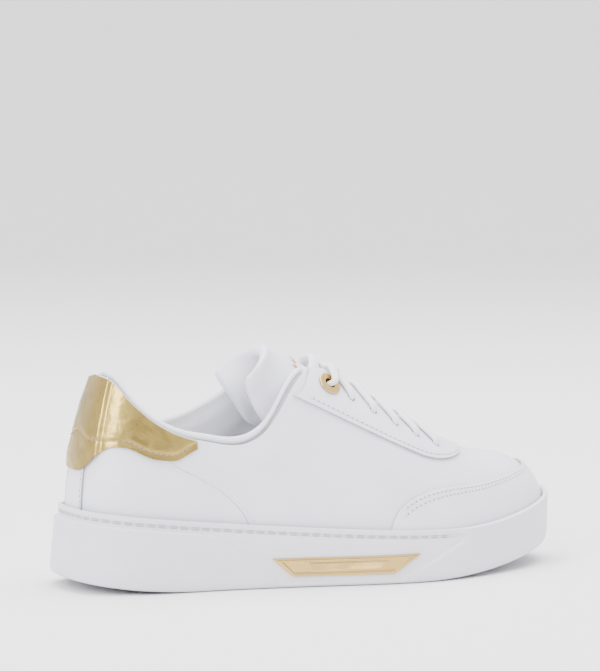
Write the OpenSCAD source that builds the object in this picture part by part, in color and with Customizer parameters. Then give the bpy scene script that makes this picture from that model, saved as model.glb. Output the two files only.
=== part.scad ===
// Low cupsole court shoe for the right foot.
// Millimetres. +X points to the toe, +Y to the inner (medial) side, +Z up. The tread rests on z = 0.

/* [Sole] */
// Half width of the outline's corner frame at the heel
frame_heel = 42; // [39:0.5:44]
// Half width of the corner frame on the inner side of the waist
frame_waist = 34; // [31:0.5:37]
// Half width of the corner frame on the outer side of the ball
frame_ball_outer = 60; // [56:0.5:62]
// Half width of the corner frame on the inner side of the ball
frame_ball_inner = 55; // [51:0.5:57]
// Half width of the corner frame beside the toe
frame_toe = 31; // [27:0.5:34]
// Height of the sole's edge above the ground at the heel
rim_heel = 41.5; // [36:0.5:46]
// Height of the sole's edge above the ground at the ball of the foot
rim_ball = 25.7; // [22:0.1:30]
// Height of the sole's edge above the ground at the toe
rim_toe = 38; // [34:0.5:42]
// How far the tread curves up at the toe
toe_spring = 12.5; // [6:0.5:14]
// How far the tread curves up at the heel
heel_spring = 6; // [3:0.5:8]
// Thickness of the rubber tread sheet
tread_t = 3; // [2:0.5:4]
// Thickness of the cupsole's edge at the top
rim_t = 2; // [1.5:0.1:2.5]
// Depth of the recessed panel between the heel wrap and the toe wrap
panel_depth = 1.3; // [0.5:0.1:1.5]
// Thickness of the metal plate in the outer panel
plate_t = 1.2; // [0.8:0.1:1.5]

/* [Upper] */
// Height of the last's ridge above the ground at the ankle
ankle_h = 158; // [154:0.5:162]
// Height of the last's ridge above the ground over the toes
toe_h = 57; // [55:0.5:60]
// Thickness of the main leather
leather_t = 1.3; // [1:0.1:1.5]
// Thickness of the sewn-on overlays
overlay_t = 1.2; // [0.8:0.1:1.4]
// Thickness of the lining
lining_t = 0.8; // [0.5:0.1:1]
// Thickness of the collar foam at the ankle
collar_foam_t = 4.5; // [2:0.5:5]
// Radius of the rolled piping along the top line
piping_r = 2; // [1.5:0.1:2.2]

/* [Tongue] */
// Height of the tongue's top edge above the ground
tongue_h = 119; // [114:0.5:122]
// Half width of the free end of the tongue
tongue_w = 18.5; // [17:0.5:19]
// Thickness of the tongue's padding
tongue_pad_t = 3.6; // [2:0.2:4]

/* [Lacing] */
// Radius of the punched lace holes
hole_r = 2.4; // [2:0.1:2.6]
// Outer radius of the metal ring in the first lace hole
ring_r = 6.3; // [5:0.1:6.6]
// Width of the flat lace
lace_w = 6.4; // [5:0.2:7]
// Thickness of the flat lace
lace_t = 1.2; // [0.8:0.1:1.4]

/* [Hidden] */
// Clearances: between layers, between foam and its covers, and half of a seam between two leathers
gap = 0.35;
foam_gap = 0.95;
seam_gap = 0.012;
// The tread sheet stands in from the sole's side
tread_inset = 4.6;
// Places round the sole
ring_n = 84;
// The panel ends this far below the sole's edge, and the upper starts this far below it
wall_drop = 6.5;
feather_drop = 6;
// Thickness of the cupsole's floor, the insole board, the sockliner and the stiffeners
cup_floor_t = 3.6;
board_t = 1.8;
sock_t = 4;
stiff_t = 0.9;
// The tongue lies this far under the leather, is covered this thick and stands this far to the outer side
tongue_depth = 4.6;
cover_t = 1;
tongue_y = -4.3;
// Place of the tongue's fold, the gap across it and the gap beside the flap
fold_x = -8;
fold_clear = 1.6;
slit = 0.05;
eyelet_count = 6;

// Frame of the outline, [x, half width]: level along the heel, widest at the ball, drawn in at the toe
FRAME_OUTER = [[-112, frame_heel], [-60, frame_heel], [54, frame_ball_outer], [119, frame_toe - 2]];
FRAME_INNER = [[-111, frame_heel - 1], [-30, frame_waist], [66, frame_ball_inner], [131, frame_toe + 2]];
// The frame's corners are evenly spaced along the rear of each side, and closer along the forefoot
function outer_x(k) = -112 + 43 * min(k, 3) + 34 * max(k - 3, 0);
function inner_x(k) = -111 + 45 * min(k, 4) + 31 * max(k - 4, 0);
heel_x = -140.4;
toe_x = 142;
SOLE = concat(
  [[heel_x, 0], [heel_x + 2, -26]],
  [for (k = [0:6]) [outer_x(k), -curve(FRAME_OUTER, outer_x(k))]],
  [[toe_x, 2]],
  [for (k = [6:-1:0]) [inner_x(k), curve(FRAME_INNER, inner_x(k))]],
  [[heel_x + 2, 26]]);
// The sole's edge is lowest at the ball, and rises gently to the heel and steeply to the toe
ball_x = 60;
// The last's ridge is one S-curve, from the toes up to the ankle
ridge_front = 112;
ridge_run = 222;
function ridge_z(x) = mix(toe_h, ankle_h, ease((ridge_front - x) / ridge_run));
// Sideways place of the ridge: [x, y]
KEEL = [[-97, -1.5], [0, -2], [99, 5]];
// The side walls are nearly round in section, a little fuller to the front, and the heel stands upright
side_lean = 1.1;
heel_lean = 1.2;
function lean(x) = side_lean - x / 600 + heel_lean * pow(max(0, -55 - x) / 42, 2);
// Edge of the leather, as a share of the way up the last: heel, ankle dip, top of the facing and its foot
EDGE_OUTER = [[0, 0.4], [1.2, 0.38], [2.85, 0.245], [3.6, 0.31], [4.5, 0.79], [5.9, 0.82],
  [6.3, 0.92], [9.4, 0.92]];
EDGE_INNER = [[0, 0.4], [1.2, 0.37], [2.65, 0.245], [3.5, 0.38], [4.5, 0.79], [5.9, 0.82],
  [6.3, 0.92], [9.4, 0.92]];
// Height of the collar's roll above the leather's edge: [station, share]
ROLL = [[0, 0.011], [3, 0.012], [3.6, 0.02], [4, 0.035], [4.5, 0.03]];
// Front edge of the rear quarters: a quarter ellipse up to the heel tab. f is a share of the height
seam_back = 1.95;
seam_reach = 1.45;
seam_top = 0.72;
function quarter_seam(f) = seam_back + seam_reach * sqrt(max(0, 1 - pow(f / seam_top, 2)));
// Lower edge of the metallic heel tab: level behind, up to the side, down at the ankle, cut off in front
tab_share = 0.13;
function tab_low(s) = tab_share + 0.075 * ease((abs(s) - 0.25) / 1.3) - 0.025 * ease((abs(s) - 1.7) / 0.6)
  + 0.05 * ease((abs(s) - 2.45) / 0.5);
// The lace stay's outer edge runs level, then turns over the ridge in a quarter ellipse
stay_share = 0.495;
stay_turn = 5.75;
stay_tip = 6.96;
stay_rise = 0.44;
// The toe overlay's upper edge climbs steeply from the sole, then slowly to the ridge
overlay_start = 5.1;
overlay_share = 0.54;
overlay_power = 0.4;
// Height of the middle of the free tongue: [x, z]
TONGUE_MID = [[-32, tongue_h], [-22, tongue_h - 4.5], [-8, 106.5], [4, 99], [12, 94]];
// Depth of the tongue's arch from its middle to its side edges: [x, depth]
TONGUE_ARCH = [[-32, 16], [-20, 36], [-8, 31], [4, 25], [12, 22]];
// How far the tongue's side edges sweep back from its middle: [x, length]
TONGUE_SWEEP = [[-32, 16.5], [-20, 13], [-8, 6], [12, 4.5]];
// Half width of the tongue, which is drawn in where it passes the collar: [x, half width]
TONGUE_HALF = [[-32, tongue_w + 5], [-27, tongue_w - 1.5], [-18, tongue_w - 1], [-8, tongue_w]];
// Edge of the tongue's free flap: [x, share of the way round the arch]
FLAP_EDGE = [[-32, 0.62], [-20, 0.44], [-12, 0.31], [-8, 0.2], [0, 0.15], [66, 0.15]];
// Half width of the tongue under the lacing, as a share of the way down the last: [x, share]
TONGUE_SHARE = [[-12, 0.36], [4, 0.36], [30, 0.36], [50, 0.34], [66, 0.28]];

function unit(v) = v / norm(v);
function mix(a, b, k) = a + (b - a) * k;
function ease(k) = let(c = min(1, max(0, k))) c * c * (3 - 2 * c);
function slope(kn, k) = (kn[k + 1][1] - kn[k][1]) / (kn[k + 1][0] - kn[k][0]);
function tangent(kn, k) = k == 0 ? slope(kn, 0)
  : k == len(kn) - 1 ? slope(kn, k - 1) : (slope(kn, k - 1) + slope(kn, k)) / 2;
function span(kn, x, k = 0) = k == len(kn) - 2 || x < kn[k + 1][0] ? k : span(kn, x, k + 1);
// Smooth curve through the [x, y] points of a table
function curve(kn, x) =
  let(q = min(kn[len(kn) - 1][0], max(kn[0][0], x)), i = span(kn, q), h = kn[i + 1][0] - kn[i][0],
    t = (q - kn[i][0]) / h, u = 1 - t)
  u * u * ((1 + 2 * t) * kn[i][1] + t * h * tangent(kn, i))
    + t * t * ((3 - 2 * t) * kn[i + 1][1] - u * h * tangent(kn, i + 1));

// Closed cubic spline over the corners of SOLE, one unit of u for each corner
function sole_corner(k) = SOLE[(k + len(SOLE)) % len(SOLE)];
function spline(u) = let(i = floor(u), f = u - i, g = 1 - f)
  (g * g * g * sole_corner(i - 1) + (3 * f * f * f - 6 * f * f + 4) * sole_corner(i)
    + (3 * g * g * g - 6 * g * g + 4) * sole_corner(i + 1) + f * f * f * sole_corner(i + 2)) / 6;
function heading(u) = let(i = floor(u), f = u - i, g = 1 - f)
  unit(-g * g * sole_corner(i - 1) + (3 * f * f - 4 * f) * sole_corner(i)
    + (1 + 2 * f - 3 * f * f) * sole_corner(i + 1) + f * f * sole_corner(i + 2));
function outline(u, inset) = let(h = heading(u)) spline(u) + inset * [-h[1], h[0]];
function find_tip(a, b, n) = let(m = (a + b) / 2)
  n == 0 ? m : heading(m)[0] > 0 ? find_tip(m, b, n - 1) : find_tip(a, m, n - 1);
tip = find_tip(8.5, 9.8, 24);

function toe_part(u) = ease((1.9 - abs(u - tip)) / 1.2);
function heel_part(u) = ease((1.9 - min(u, len(SOLE) - u)) / 1.2);
function rim_inset(u) = mix(3.4, 0.6, toe_part(u)) + 1.2 * heel_part(u);
// The wraps stand proud of the rim by a ledge, which fades out at the toe
function ledge(u) = mix(2, 0.6, toe_part(u));
function rim_z(x) = rim_ball + (x < ball_x
  ? (rim_heel - rim_ball) * pow((ball_x - x) / 198, 1.6)
  : (rim_toe - rim_ball) * pow((x - ball_x) / 78, 2));
function ground(x) = heel_spring * pow(max(0, -x - 75) / 63, 2) + toe_spring * pow(max(0, x - 30) / 108, 2);
function upper_inset(u) = rim_inset(u) + rim_t + 2;

// Feather line, and the last's surface over it: u round the shoe, t from the feather (0) to the ridge (1)
soft = 28;
function soft_x(x) = x > 71 ? 71 + soft * (1 - exp((71 - x) / soft))
  : x < -69 ? -69 - soft * (1 - exp((x + 69) / soft)) : x;
function last_point(u, t) =
  let(f = outline(u, upper_inset(u)), x = soft_x(f[0]), y = curve(KEEL, x),
    z = rim_z(f[0]) - feather_drop, r = pow(max(0, cos(90 * t)), lean(x)))
  [mix(x, f[0], r), mix(y, f[1], r), mix(z, ridge_z(x), sin(90 * t))];
function last_normal(u, t) = let(e = 0.002, s = min(t, 0.98))
  unit(cross(last_point(u + e, s) - last_point(u - e, s), last_point(u, s + e) - last_point(u, s - e)));
function skin(u, t, d) = last_point(u, t) + d * last_normal(u, t);

// Station p counts along the outer side; partner(p) is the inner side's u at the same length
INNER = [for (k = [0:120]) let(u = mix(tip, len(SOLE), k / 120)) [outline(u, upper_inset(u))[0], u]];
OUTER = [for (k = [0:120]) let(u = tip * k / 120) [outline(u, upper_inset(u))[0], u]];
function partner(p) = lookup(outline(p, upper_inset(p))[0], INNER);
function station(x) = lookup(x, OUTER);
// The lace holes are evenly spaced along the stay: x of the first, pitch, and share of the way up
first_hole_x = -2.2;
hole_pitch = 12;
hole_share = 0.668;
HOLES = [for (k = [0:eyelet_count - 1]) [station(first_hole_x + hole_pitch * k), hole_share]];
// Even places round the sole, with each inner place level with its outer one
function ring_u(i) = i <= ring_n / 2 ? 2 * tip * i / ring_n : partner(2 * tip * (ring_n - i) / ring_n);
// Across the shoe at station p: w is -1 at the outer feather, 0 on the ridge and 1 at the inner feather
function hoop(p, w, d) =
  abs(w) < 0.02
    ? last_point(p, 1) + d * unit(last_normal(p, 0.98) + last_normal(partner(p), 0.98))
    : skin(w < 0 ? p : partner(p), 1 - abs(w), d);
// Round the heel: s is a station, negative on the inner side
function heel(s, t, d) = skin(s < 0 ? partner(-s) : s, t, d);
function edge(s) = curve(s < 0 ? EDGE_INNER : EDGE_OUTER, abs(s));
function roll_line(s) = edge(s) + curve(ROLL, abs(s));
// Row of stitches that closes the padded collar, a share of the way up to the leather's edge
function collar_seam(s) = curve(EDGE_OUTER, abs(s)) * mix(0.52, 0.65, min(1, abs(s) / 2));
function stay_low(p) =
  stay_share + stay_rise * (1 - sqrt(1 - pow(min(1, max(0, p - stay_turn) / (stay_tip - stay_turn)), 2)));
function toe_edge(p) = overlay_share * pow(max(0, p - overlay_start) / (tip - overlay_start), overlay_power);

// Place along either side. The toe wrap covers the rim from wrap_start on.
function side_place(u) = u < tip ? u : len(SOLE) - u;
wrap_start = 6.15;
function over_rim(u) = ease((side_place(u) - wrap_start) / 0.3);
// Side wall of the sole: k runs from 0 at the bottom to 1 under the rim band
function on_panel(u, k) =
  let(s = side_place(u), a = 3.66 - 0.66 * k - 0.17 * pow(k, 8), b = mix(5.3, 6.3, k))
  ease((s - a) / 0.12) * ease((b - s) / 0.12);
function sole_wall(u, k, out) =
  let(inset = mix(0.3, rim_inset(u) - ledge(u), k) + panel_depth * on_panel(u, k) - out,
    p = outline(u, inset))
  [p[0], p[1], mix(ground(p[0]) + 4, rim_z(p[0]) - wall_drop, k)];

function quad(a, b, c, d) = [[a, b, c], [a, c, d]];

// Closed shell over ni by nj cells. at(i, j, k) is a corner: k is 0 on the outer face and 1 on the inner.
// keep(i, j) says which cells exist. zip closes the last row onto itself.
module shell(ni, nj, at, keep = function(i, j) true, zip = false) {
  size = (ni + 1) * (nj + 1);
  id = function(i, j, k) k * size + i * (nj + 1) + (zip && i == ni && j > nj / 2 ? nj - j : j);
  solid = function(i, j) i >= 0 && j >= 0 && i < ni && j < nj && keep(i, j);
  cells = [for (i = [0:ni - 1]) for (j = [0:nj - 1]) if (solid(i, j)) [i, j]];
  faces = [for (c = cells) let(i = c[0], j = c[1]) each concat(
    quad(id(i, j, 0), id(i, j + 1, 0), id(i + 1, j + 1, 0), id(i + 1, j, 0)),
    quad(id(i, j, 1), id(i + 1, j, 1), id(i + 1, j + 1, 1), id(i, j + 1, 1)),
    solid(i - 1, j) ? [] : quad(id(i, j, 0), id(i, j, 1), id(i, j + 1, 1), id(i, j + 1, 0)),
    solid(i + 1, j) || (zip && i == ni - 1) ? []
      : quad(id(i + 1, j, 0), id(i + 1, j + 1, 0), id(i + 1, j + 1, 1), id(i + 1, j, 1)),
    solid(i, j - 1) ? [] : quad(id(i, j, 0), id(i + 1, j, 0), id(i + 1, j, 1), id(i, j, 1)),
    solid(i, j + 1) ? []
      : quad(id(i, j + 1, 0), id(i, j + 1, 1), id(i + 1, j + 1, 1), id(i + 1, j + 1, 0)))];
  polyhedron([for (k = [0, 1]) for (i = [0:ni]) for (j = [0:nj]) at(i, j, k)], faces);
}

// Closed solid of rings round the sole. at(u, j) gives the points of ring j; the first ring is closed
// underneath and the last one on top.
module ringed(m, at) {
  n = ring_n;
  id = function(i, j) j * n + i % n;
  sides = [for (j = [0:m - 1]) for (i = [0:n - 1])
    each quad(id(i, j), id(i, j + 1), id(i + 1, j + 1), id(i + 1, j))];
  under = [for (i = [0:n / 2 - 1]) each quad(id(i, 0), id(i + 1, 0), id(n - i - 1, 0), id(n - i, 0))];
  over = [for (i = [0:n / 2 - 1]) each quad(id(i, m), id(n - i, m), id(n - i - 1, m), id(i + 1, m))];
  whole = [for (f = concat(sides, under, over)) if (f[0] != f[1] && f[1] != f[2] && f[0] != f[2]) f];
  polyhedron([for (j = [0:m]) for (i = [0:n - 1]) at(ring_u(i), j)], whole);
}

// Flat or round strand along a list of [point, width, thickness]; side is the direction of its width
module strand(path, side, facets = 8, closed = false) {
  n = len(path);
  point = function(i) path[closed ? (i + n) % n : min(n - 1, max(0, i))][0];
  ring = function(i)
    let(t = unit(point(i + 1) - point(i - 1)), a = unit(side(i) - t * (side(i) * t)), b = cross(t, a))
    [for (k = [0:facets - 1]) let(q = 360 * (k + 0.5) / facets)
      path[i][0] + a * cos(q) * path[i][1] / 2 + b * sin(q) * path[i][2] / 2];
  id = function(i, k) (i % n) * facets + k % facets;
  walls = [for (i = [0:n - (closed ? 1 : 2)]) for (k = [0:facets - 1])
    each quad(id(i, k), id(i + 1, k), id(i + 1, k + 1), id(i, k + 1))];
  ends = closed ? [] : [[for (k = [0:facets - 1]) k], [for (k = [facets - 1:-1:0]) id(n - 1, k)]];
  polyhedron([for (i = [0:n - 1]) each ring(i)], concat(walls, ends));
}

// Places children at a lace hole with +Z along the outward normal
module at_hole(k, inner_side) {
  u = inner_side ? partner(HOLES[k][0]) : HOLES[k][0];
  n = last_normal(u, HOLES[k][1]);
  translate(last_point(u, HOLES[k][1]))
    rotate([0, acos(n[2]), atan2(n[1], n[0])])
      children();
}

module lace_holes() {
  for (k = [0:eyelet_count - 1])
    for (s = [false, true])
      at_hole(k, s)
        translate([0, 0, -6])
          cylinder(h = 12, r = k == 0 ? hole_r + 1.2 : hole_r, $fn = 24);
}

// ---- Sole ----

module tread_plate(x0, x1) {
  linear_extrude(height = tread_t)
    intersection() {
      polygon([for (i = [0:ring_n - 1]) outline(ring_u(i), tread_inset)]);
      translate([x0, -80])
        square([x1 - x0, 160]);
    }
}

module tread_end(x0, x1) {
  n = 18;
  m = 6;
  shell(n, m, function(i, j, k) let(q = (x1 > 0 ? sin(90 * i / n) : 1 - cos(90 * i / n)), x = mix(x0, x1, q))
    [x, mix(tread_side(x, -1), tread_side(x, 1), j / m), ground(x) + tread_t * (1 - k)]);
}
TREAD_LAT = [for (k = [0:200]) outline(tip * k / 200, tread_inset)];
TREAD_MED = [for (k = [0:200]) outline(mix(tip, len(SOLE), k / 200), tread_inset)];
function tread_side(x, s) = lookup(x, s < 0 ? TREAD_LAT : TREAD_MED);

module outsole_tread() {
  color("whitesmoke")
    difference() {
      union() {
        tread_plate(-75, 30);
        tread_end(29, 137);
        tread_end(-133.5, -74);
      }
      for (x = [-66:12:18])
        if (abs(x) > 8)
          translate([x, -80, -1])
            cube([2, 160, 2.2]);
    }
}

// Inset and height of each ring of the cupsole: outside wall, rim and cavity
function cup_ring(u, j) =
  let(wall_rings = 5, low = [[4, tread_t + 0.4], [4, 0.5], [2.2, 0.3], [0.8, 1.6]])
  j < 4 ? let(p = outline(u, low[j][0])) [p[0], p[1], ground(p[0]) + low[j][1]]
  : j < 4 + wall_rings ? sole_wall(u, (j - 4) / (wall_rings - 1), 0)
  : let(r = rim_inset(u), q = j - 4 - wall_rings, face = r - ledge(u) * over_rim(u),
      high = [[face, 1 - wall_drop], [face, -0.6], [face + 0.6, 0], [r + rim_t - 0.3, 0], [r + rim_t, -0.8]])
    q < 5 ? let(p = outline(u, high[q][0])) [p[0], p[1], rim_z(p[0]) + high[q][1]]
    : let(p = outline(u, r + rim_t + 0.4)) [p[0], p[1], ground(p[0]) + tread_t + cup_floor_t];

module cupsole() {
  color("white")
    ringed(14, function(u, j) cup_ring(u, j));
}

module midsole_filler() {
  ins = [1.2, 0.9, 0.9, 1.2];
  color("gainsboro")
    ringed(3, function(u, j) let(p = outline(u, rim_inset(u) + rim_t + ins[j]))
      [p[0], p[1], j < 2 ? ground(p[0]) + tread_t + cup_floor_t + 0.4 + j
        : rim_z(p[0]) - feather_drop - board_t - 2 * gap - 3 + j]);
}

module sole_stitching() {
  n = 64;
  last = wrap_start - 0.1;
  color("white")
    strand([for (i = [0:n])
      let(s = mix(-last, last, i / n), u = s < 0 ? partner(-s) : s, p = outline(u, rim_inset(u) - 0.6))
      [[p[0], p[1], rim_z(p[0]) - 3.4], 1, 1]], function(i) [0, 0, 1], 4);
}

module side_plate() {
  low = [3.86, 5.1];
  high = [3.62, 5.5];
  color("gold")
    shell(16, 3, function(i, j, k)
      let(h = j / 3, u = mix(mix(low[0], high[0], h), mix(low[1], high[1], h), i / 16))
      sole_wall(u, mix(0.09, mix(0.53, 0.69, i / 16), h), 0.25 + (1 - k) * plate_t));
}

module insole_board() {
  color("burlywood")
    ringed(1, function(u, j) let(p = outline(u, upper_inset(u) + 0.4))
      [p[0], p[1], rim_z(p[0]) - feather_drop - gap - board_t * (1 - j)]);
}

module sockliner() {
  ins = [6, 5.4, 5.4, 6];
  up = [0, 0.8, 3.2, 4];
  color("white")
    ringed(3, function(u, j) let(p = outline(u, upper_inset(u) + ins[j]))
      [p[0], p[1], rim_z(p[0]) - feather_drop + 0.2 + up[j] * sock_t / 4]);
}

// ---- Upper ----

module heel_counter() {
  top = [[0, 0.185], [1.6, 0.18], [2.6, 0.1]];
  color("tan")
    shell(22, 4, function(i, j, k) let(s = mix(-2.6, 2.6, i / 22))
      heel(s, mix(0.02, curve(top, abs(s)), j / 4), -leather_t - gap - k * stiff_t));
}

module toe_puff() {
  n = 14;
  color("tan")
    shell(8, n, function(i, j, k)
      hoop(mix(7.3, tip, i / 8), mix(-0.97, 0.97, j / n), -leather_t - gap - k * stiff_t),
      zip = true);
}

// The vamp runs from the rear quarters round the toe, with the throat left open
module vamp() {
  side = 7;
  mid = 4;
  n = 2 * side + mid;
  back = 18;
  front = 12;
  color("white")
    difference() {
      shell(back + front, n, function(i, j, k)
        let(f = j <= side ? j / side : j >= side + mid ? (n - j) / side : 1,
          a = quarter_seam(f) + seam_gap,
          p = i < back ? mix(a, 6.3, i / back) : mix(6.3, tip, (i - back) / front),
          lo = -1 + edge(p), hi = 1 - edge(-p),
          w = j <= side ? mix(-1, lo, f) : j >= side + mid ? mix(1, hi, f) : mix(lo, hi, (j - side) / mid))
        hoop(p, w, -k * leather_t),
        function(i, j) i >= back || j < side || j >= side + mid, true);
      lace_holes();
    }
}

module toe_overlay() {
  n = 6;
  m = 30;
  color("white")
    shell(m, n, function(i, j, k)
      let(v = 2 * i / m - 1, q = mix(overlay_start, tip, pow(1 - abs(v), 1.4)), u = v < 0 ? q : partner(q))
      skin(u, mix(0.01, max(0.03, toe_edge(q)), j / n), gap + (1 - k) * overlay_t));
}

// Rear quarter of one side, from the heel seam to the vamp
module quarter(sign) {
  shell(14, 7, function(i, j, k)
    let(f = j / 7, s = mix(0.04, quarter_seam(f) - seam_gap, i / 14))
    heel(sign * s, f * edge(sign * s), -(sign > 0 ? k : 1 - k) * leather_t));
}

module quarter_lateral() {
  color("white")
    quarter(1);
}

module quarter_medial() {
  color("white")
    quarter(-1);
}

// U-shaped stay that carries the lace holes
module eyestay() {
  side = 5;
  mid = 4;
  n = 2 * side + mid;
  back = 20;
  front = 6;
  color("white")
    difference() {
      shell(back + front, n, function(i, j, k)
        let(f = j <= side ? j / side : j >= side + mid ? (n - j) / side : 1, a = mix(4, 4.3, f),
          p = i < back ? mix(a, 6.3, i / back) : mix(6.3, 6.93, (i - back) / front),
          in = min(1 - edge(p), 0.9 * (1 - stay_low(p))), out = 1 - stay_low(p),
          w = j <= side ? -mix(out, in, f) : j >= side + mid ? mix(out, in, f)
            : mix(-in, in, (j - side) / mid))
        hoop(p, w, gap + (1 - k) * overlay_t),
        function(i, j) i >= back || j < side || j >= side + mid);
      lace_holes();
    }
}

module back_stay() {
  color("white")
    shell(8, 10, function(i, j, k)
      let(t = mix(0.01, edge(0) - 0.006, j / 10),
        s = mix(0.5, 0.88, ease((t - 0.13) / 0.27)) * mix(-1, 1, i / 8))
      heel(s, t, gap + (1 - k) * 0.9));
}

module heel_tab() {
  color("gold")
    shell(36, 5, function(i, j, k)
      let(s = mix(-2.8, 2.8, i / 36), ridge = 1.25 * ease((1.15 - abs(s)) / 0.2))
      heel(s, mix(tab_low(s), edge(s) - 0.004, j / 5), gap + ridge + (1 - k) * 0.8));
}

roll_d = leather_t + gap + piping_r;
module collar_piping() {
  n = 52;
  color("white")
    strand([for (i = [0:n]) let(s = mix(-4.14, 4.28, i / n))
      [heel(s, roll_line(s), -roll_d), 2 * piping_r, 2 * piping_r]], function(i) [0, 0, 1]);
}

// Top of the foam and the lining, just under the roll
function under_roll(s) = roll_line(s) - 0.019 - 0.03 * ease((abs(s) - 3.3) / 0.6);
// How far the lining stands off the leather
function lining_depth(s, t) =
  let(a = collar_seam(s), b = under_roll(s), k = (t - a) / (b - a))
  leather_t + stiff_t + 3 * gap
    + (collar_foam_t - stiff_t) * ease(2 * k) * ease(2.4 - 1.6 * k) * ease((4.5 - abs(s)) * 0.9);

module collar_foam() {
  n = 38;
  m = 5;
  color("khaki")
    shell(n, m, function(i, j, k)
      let(s = mix(-4.2, 4.2, i / n), t = mix(collar_seam(s) + 0.008, under_roll(s), j / m))
      heel(s, t, k == 0 ? -leather_t - foam_gap : -lining_depth(s, t) + foam_gap));
}

module collar_lining() {
  n = 38;
  m = 8;
  color("lightgray")
    shell(n, m, function(i, j, k)
      let(s = mix(-4.25, 4.25, i / n), t = mix(0.02, under_roll(s), j / m))
      heel(s, t, -lining_depth(s, t) - k * lining_t));
}

module vamp_lining() {
  side = 6;
  mid = 4;
  n = 2 * side + mid;
  back = 10;
  front = 10;
  color("lightgray")
    difference() {
      shell(back + front, n, function(i, j, k)
        let(f = j <= side ? j / side : j >= side + mid ? (n - j) / side : 1, a = mix(4.3, 4.56, f),
          p = i < back ? mix(a, 6.3, i / back) : mix(6.3, tip, (i - back) / front),
          lo = -1 + edge(p), hi = 1 - edge(-p),
          w = j <= side ? mix(-0.98, lo, f) : j >= side + mid ? mix(0.98, hi, f)
            : mix(lo, hi, (j - side) / mid),
          behind = max(ease((p - 6.4) / 0.7), ease((4.8 - p) / 0.5) * ease((abs(w) - 0.45) / 0.15)),
          d = leather_t + gap + (stiff_t + gap) * behind)
        hoop(p, w, -d - k * lining_t),
        function(i, j) i >= back || j < side || j >= side + mid, true);
      lace_holes();
    }
}

// ---- Tongue ----

// Free part of the tongue: an arch over the ankle. v runs from -1 at the outer edge to 1 at the inner.
function arch(x, v, d) =
  let(a = 84 * v, turn = 1 - cos(a), w = curve(TONGUE_HALF, x),
    n = unit([0.42 * cos(a), sin(a), 0.88 * cos(a)]))
  [x - curve(TONGUE_SWEEP, x) * turn, w * sin(a) + tongue_y,
    curve(TONGUE_MID, x) - curve(TONGUE_ARCH, x) * turn] + d * n;
function tongue(x, v, d) =
  let(free = ease((8 - x) / 16))
  free > 0.999 ? arch(x, v, d)
  : mix(hoop(station(x), v * curve(TONGUE_SHARE, x), d - tongue_depth), arch(x, v, d), free);

// The free flap lies between v = -flap_edge and flap_edge; the rest of the tongue stays in the shoe
function flap_edge(x) = curve(FLAP_EDGE, x);

module tongue_flap_layer(depth, t, rim) {
  n = 10;
  m = 6;
  shell(m, n, function(i, j, k) let(x = mix(end_x, flap_x, i / m))
    tongue(x, rim * (flap_edge(x) - slit / 2) * mix(-1, 1, j / n), -depth - k * t));
}

module tongue_base_layer(x1, depth, t, rim) {
  side = 4;
  mid = 6;
  n = 2 * side + mid;
  back = 6;
  front = 12;
  shell(back + front, n, function(i, j, k)
    let(x = i < back ? mix(end_x, base_x, i / back) : mix(base_x, x1, (i - back) / front),
      b = flap_edge(x) + slit / 2,
      v = j <= side ? mix(-rim, -b, j / side) : j >= side + mid ? mix(rim, b, (n - j) / side)
        : mix(-b, b, (j - side) / mid))
    tongue(x, v, -depth - k * t),
    function(i, j) i >= back || j < side || j >= side + mid);
}

// The tongue is sewn in at root_x and ends at end_x
root_x = 66;
base_x = fold_x + fold_clear / 2;
flap_x = fold_x - fold_clear / 2;
end_x = -29;
pad_d = cover_t + 0.45;
tongue_lining_d = pad_d + tongue_pad_t + 0.35;
pad_rim = 0.92;
module tongue_base() {
  color("white")
    tongue_base_layer(root_x, 0, cover_t, 1);
}

module tongue_base_padding() {
  color("khaki")
    tongue_base_layer(root_x - 10, pad_d, tongue_pad_t, pad_rim);
}

module tongue_base_lining() {
  color("lightgray")
    tongue_base_layer(root_x, tongue_lining_d, lining_t, 1);
}

module tongue_top() {
  color("white")
    tongue_flap_layer(0, cover_t, 1);
}

module tongue_top_padding() {
  color("khaki")
    tongue_flap_layer(pad_d, tongue_pad_t, 0.97);
}

module tongue_top_lining() {
  color("lightgray")
    tongue_flap_layer(tongue_lining_d, lining_t, 1);
}

// Bound edge of the tongue: over the flap, and down each wing
binding_r = 2.7;
module edge_binding(v0, v1, n) {
  color("white")
    strand([for (i = [0:n]) [tongue(end_x - binding_r - 0.3, mix(v0, v1, i / n), -tongue_lining_d / 2 - 0.3),
      2 * binding_r, 2 * binding_r]], function(i) [1, 0, 0.3]);
}

binding_edge = flap_edge(end_x);
module tongue_binding() {
  edge_binding(slit / 2 - binding_edge, binding_edge - slit / 2, 16);
}

module tongue_wing_binding() {
  edge_binding(-1, -binding_edge - slit / 2, 6);
  edge_binding(binding_edge + slit / 2, 1, 6);
}

// ---- Lacing ----

module eyelet_ring() {
  face = gap + overlay_t + 0.15;
  inner = hole_r + 0.55;
  barrel = hole_r + 1.05;
  color("gold")
    rotate_extrude($fn = 48)
      union() {
        translate([inner, -2.4])
          square([barrel - inner, face + 2.4]);
        translate([inner, face])
          square([ring_r - inner - 0.5, 1]);
        translate([ring_r - 0.5, face + 0.5])
          circle(r = 0.5, $fn = 24);
      }
}

module eyelet_ring_lateral() {
  at_hole(0, false)
    eyelet_ring();
}

module eyelet_ring_medial() {
  at_hole(0, true)
    eyelet_ring();
}

lace_under = -leather_t - gap - lining_t - lace_t / 2 - 0.35;
lace_over = gap + overlay_t + lace_t / 2 + 0.5;
hole_w = 3.2;
ring_over = lace_over + 1.9;
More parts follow.
